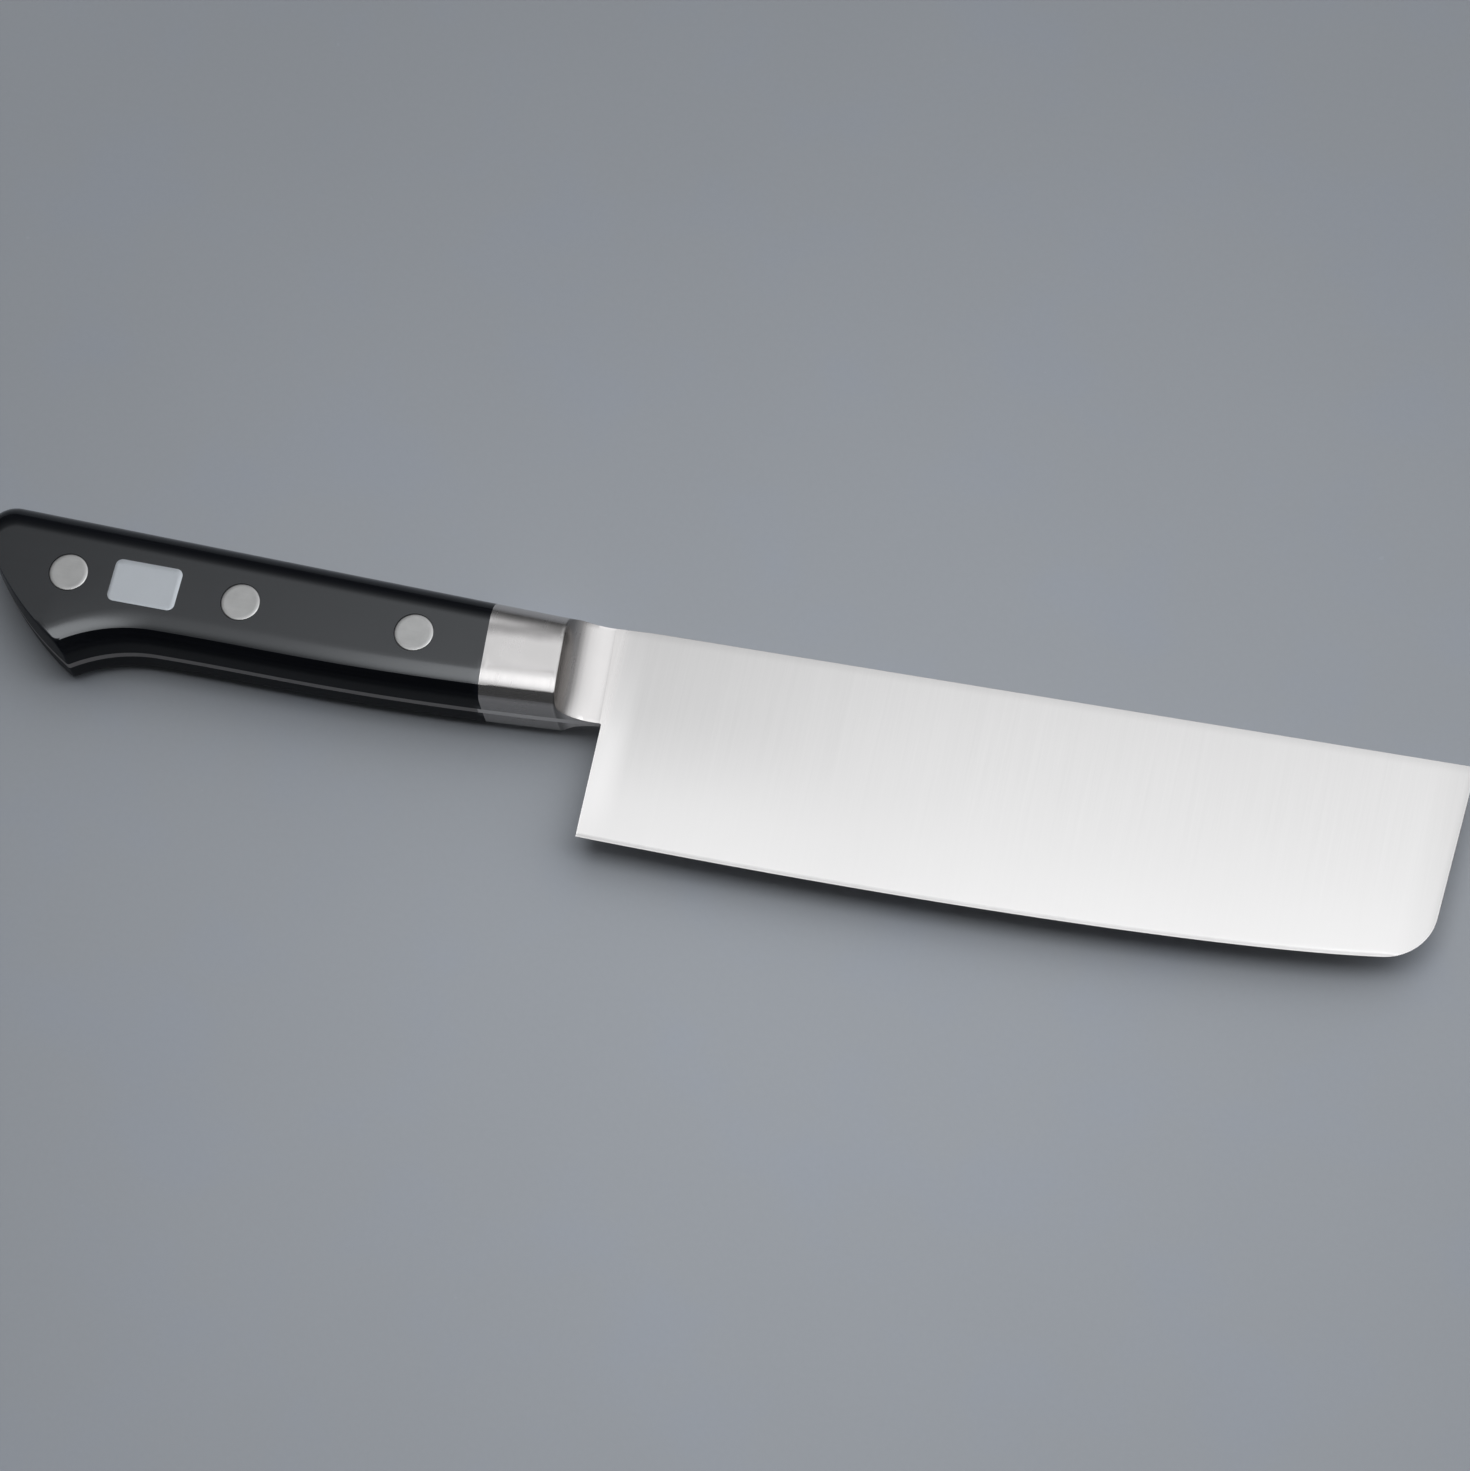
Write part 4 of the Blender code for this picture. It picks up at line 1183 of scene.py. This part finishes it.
def table_paint(looks):
    """Pale grey matt table with soft clouding and a few specks, and a painted pool of light about the knife."""
    paint = paint_for("grey_table")
    cloud = paint.noise(paint.spot, 9.0, 4.0)
    patch = paint.noise(paint.place((30.0, 34.0, 30.0)), 1.0, 3.0)
    grain = paint.noise(paint.spot, 900.0)
    speck = paint.between(paint.noise(paint.spot, 420.0, 1.0), 0.80, 0.84)
    # Painted pool of light, lighter about the knife and fading outwards
    node = paint.node("ShaderNodeVectorMath", {"operation": "DISTANCE"}, {0: paint.spot, 1: LIGHT_POOL_CENTRE})
    light_pool = paint.between(Number(paint, node.outputs["Value"]), 0.0, LIGHT_POOL_REACH, 0.995, 0.745)
    tone = light_pool * (1.0 + (cloud - 0.5) * 0.08 + (grain - 0.5) * 0.04 + speck * 0.06)
    colour = paint.blend(paint.between(patch, 0.45, 0.70, 0.0, 0.7), four(looks.floor_colour), PATCH_COLOUR)
    return paint.finish(Base_Color=paint.toned(colour, tone), Roughness=0.55)


class KNIFE_OT_blade(bpy.types.Operator):
    """Add the ground blade with its tang"""

    bl_idname = "knife.blade"
    bl_label = "Blade and tang"

    def execute(self, context):
        view = side_view(context)
        piece = finish_mesh(blade_mesh(view), "ground_blade")
        seat(piece, blade_steel(context.scene.knife_finish, view), "blade_steel", "blade_and_tang")
        return {"FINISHED"}


class KNIFE_OT_bolster(bpy.types.Operator):
    """Add the two scooped cheeks of the bolster"""

    bl_idname = "knife.bolster"
    bl_label = "Bolster"

    def execute(self, context):
        view = side_view(context)
        steel = bolster_steel(context.scene.knife_finish, view)
        for side in ("right", "left"):
            piece = finish_mesh(cheek_mesh(view), f"cheek_{side}", side == "left")
            seat(piece, steel, "bolster_steel", f"bolster_{side}")
        return {"FINISHED"}


class KNIFE_OT_scales(bpy.types.Operator):
    """Add the two handle scales"""

    bl_idname = "knife.scales"
    bl_label = "Handle scales"

    def execute(self, context):
        view = side_view(context)
        wood = black_wood(context.scene.knife_finish)
        for side in ("right", "left"):
            piece = finish_mesh(scale_mesh(view), f"wood_scale_{side}", side == "left")
            seat(piece, wood, "black_laminated_wood", f"scale_{side}")
        return {"FINISHED"}


class KNIFE_OT_rivets(bpy.types.Operator):
    """Add the three rivets, each a socket and a pin"""

    bl_idname = "knife.rivets"
    bl_label = "Rivets"

    def execute(self, context):
        view = side_view(context)
        steel = rivet_steel(context.scene.knife_finish)
        for place, name in zip(view.rivet_places(), RIVET_NAMES):
            piece = finish_mesh(turned_mesh(view, socket_profile(view), place), f"{name}_socket")
            seat(piece, steel, "rivet_steel", f"rivet_{name}_socket")
            piece = finish_mesh(turned_mesh(view, pin_profile(view), place), f"{name}_pin", True)
            seat(piece, steel, "rivet_steel", f"rivet_{name}_pin")
        return {"FINISHED"}


class KNIFE_OT_label(bpy.types.Operator):
    """Add the bare silver label on the right scale"""

    bl_idname = "knife.label"
    bl_label = "Label"

    def execute(self, context):
        piece = finish_mesh(label_mesh(side_view(context)), "silver_label")
        seat(piece, label_foil(context.scene.knife_finish), "label_foil", "handle_label")
        return {"FINISHED"}


class KNIFE_OT_stage(bpy.types.Operator):
    """Add the table, the softboxes, the room's light and the camera"""

    bl_idname = "knife.stage"
    bl_label = "Stage"

    def execute(self, context):
        looks = context.scene.knife_finish
        bm = bmesh.new()
        bmesh.ops.create_circle(bm, cap_ends=True, segments=TABLE_SIDES, radius=TABLE_RADIUS)
        bmesh.ops.translate(bm, vec=(0.0, 0.0, -TABLE_GAP), verts=bm.verts[:])
        mesh = bpy.data.meshes.new("table_top")
        bm.to_mesh(mesh)
        bm.free()
        table = bpy.data.objects.new("table_top", mesh)
        table.data.materials.append(table_paint(looks))
        context.scene.collection.objects.link(table)
        for softbox, power in zip(SOFTBOXES, (looks.lamp_power, looks.side_power)):
            self.add_lamp(context, *softbox, power)
        self.add_room(context, looks)
        self.add_camera(context)
        context.scene.view_settings.view_transform = "Standard"
        return {"FINISHED"}

    def add_lamp(self, context, name, place, size, turn, power):
        """Softbox with its middle at a place, tilted from facing down and swung round, both in degrees."""
        lamp = bpy.data.lights.new(name, "AREA")
        lamp.shape = "RECTANGLE"
        lamp.size, lamp.size_y = size
        lamp.energy = power
        lamp.color = DAYLIGHT
        thing = bpy.data.objects.new(name, lamp)
        thing.location = place
        thing.rotation_euler = (0.0, math.radians(turn[0]), math.radians(turn[1]))
        context.scene.collection.objects.link(thing)

    def add_room(self, context, looks):
        """Pale walls and ceiling beyond the knife, with the dark side of the room before it."""
        paint = Paint(bpy.data.worlds.new("room"), "Background", "Generated")
        up = paint.along((0.0, 0.0, 1.0))
        beyond = paint.between(paint.along((0.0, 0.985, 0.17)), -0.12, 0.14)
        right = paint.between(paint.along((0.94, 0.0, 0.34)), -0.04, 0.21, 0.14, 1.0)
        high = paint.between(up, -0.05, 0.75, 0.14, 1.0)
        back = paint.between(paint.along((0.0, 1.0, 0.0)), 0.34, 0.80, 1.0, 0.56)
        before = (1.0 - beyond) * (1.0 - paint.between(up, 0.30, 0.75))
        level = beyond * right * high * back * ROOM_WALLS + ROOM_SHADE + before * ROOM_DARK_SIDE
        level = level * looks.room_level
        context.scene.world = paint.finish(Color=four(DAYLIGHT), Strength=level)

    def add_camera(self, context):
        """Camera at the photograph's viewing angle."""
        data = bpy.data.cameras.new("camera")
        data.sensor_width = CAMERA_SENSOR
        data.lens = CAMERA_LENS
        data.clip_start, data.clip_end = CAMERA_CLIP
        camera = bpy.data.objects.new("camera", data)
        turn = Matrix((CAMERA_RIGHT, -CAMERA_DOWN, -CAMERA_AHEAD)).transposed()
        camera.matrix_world = Matrix.Translation(CAMERA_PLACE + PLACE) @ turn.to_4x4()
        context.scene.collection.objects.link(camera)
        context.scene.camera = camera


class KNIFE_PT_panel(bpy.types.Panel):
    """Sizes, finishes and pieces of the knife"""

    bl_idname = "KNIFE_PT_panel"
    bl_label = "Nakiri knife"
    bl_space_type = "VIEW_3D"
    bl_region_type = "UI"
    bl_category = "Knife"

    def draw(self, context):
        for group in (context.scene.knife_sizes, context.scene.knife_finish):
            column = self.layout.column(align=True)
            for name in group.__annotations__:
                column.prop(group, name)
        column = self.layout.column(align=True)
        for operator in OPERATORS:
            column.operator(operator.bl_idname)


OPERATORS = (KNIFE_OT_blade, KNIFE_OT_bolster, KNIFE_OT_scales, KNIFE_OT_rivets, KNIFE_OT_label, KNIFE_OT_stage)
CLASSES = (KnifeSizes, KnifeFinish, *OPERATORS, KNIFE_PT_panel)


def register():
    """Register the classes and hang the settings on the scene."""
    for item in CLASSES:
        bpy.utils.register_class(item)
    bpy.types.Scene.knife_sizes = PointerProperty(type=KnifeSizes)
    bpy.types.Scene.knife_finish = PointerProperty(type=KnifeFinish)


def unregister():
    """Take the settings and the classes away again."""
    del bpy.types.Scene.knife_finish
    del bpy.types.Scene.knife_sizes
    for item in reversed(CLASSES):
        bpy.utils.unregister_class(item)


def main():
    """Register the add-on and build every piece and the stage."""
    register()
    bpy.ops.knife.blade()
    bpy.ops.knife.bolster()
    bpy.ops.knife.scales()
    bpy.ops.knife.rivets()
    bpy.ops.knife.label()
    bpy.ops.knife.stage()


if __name__ == "__main__":
    main()
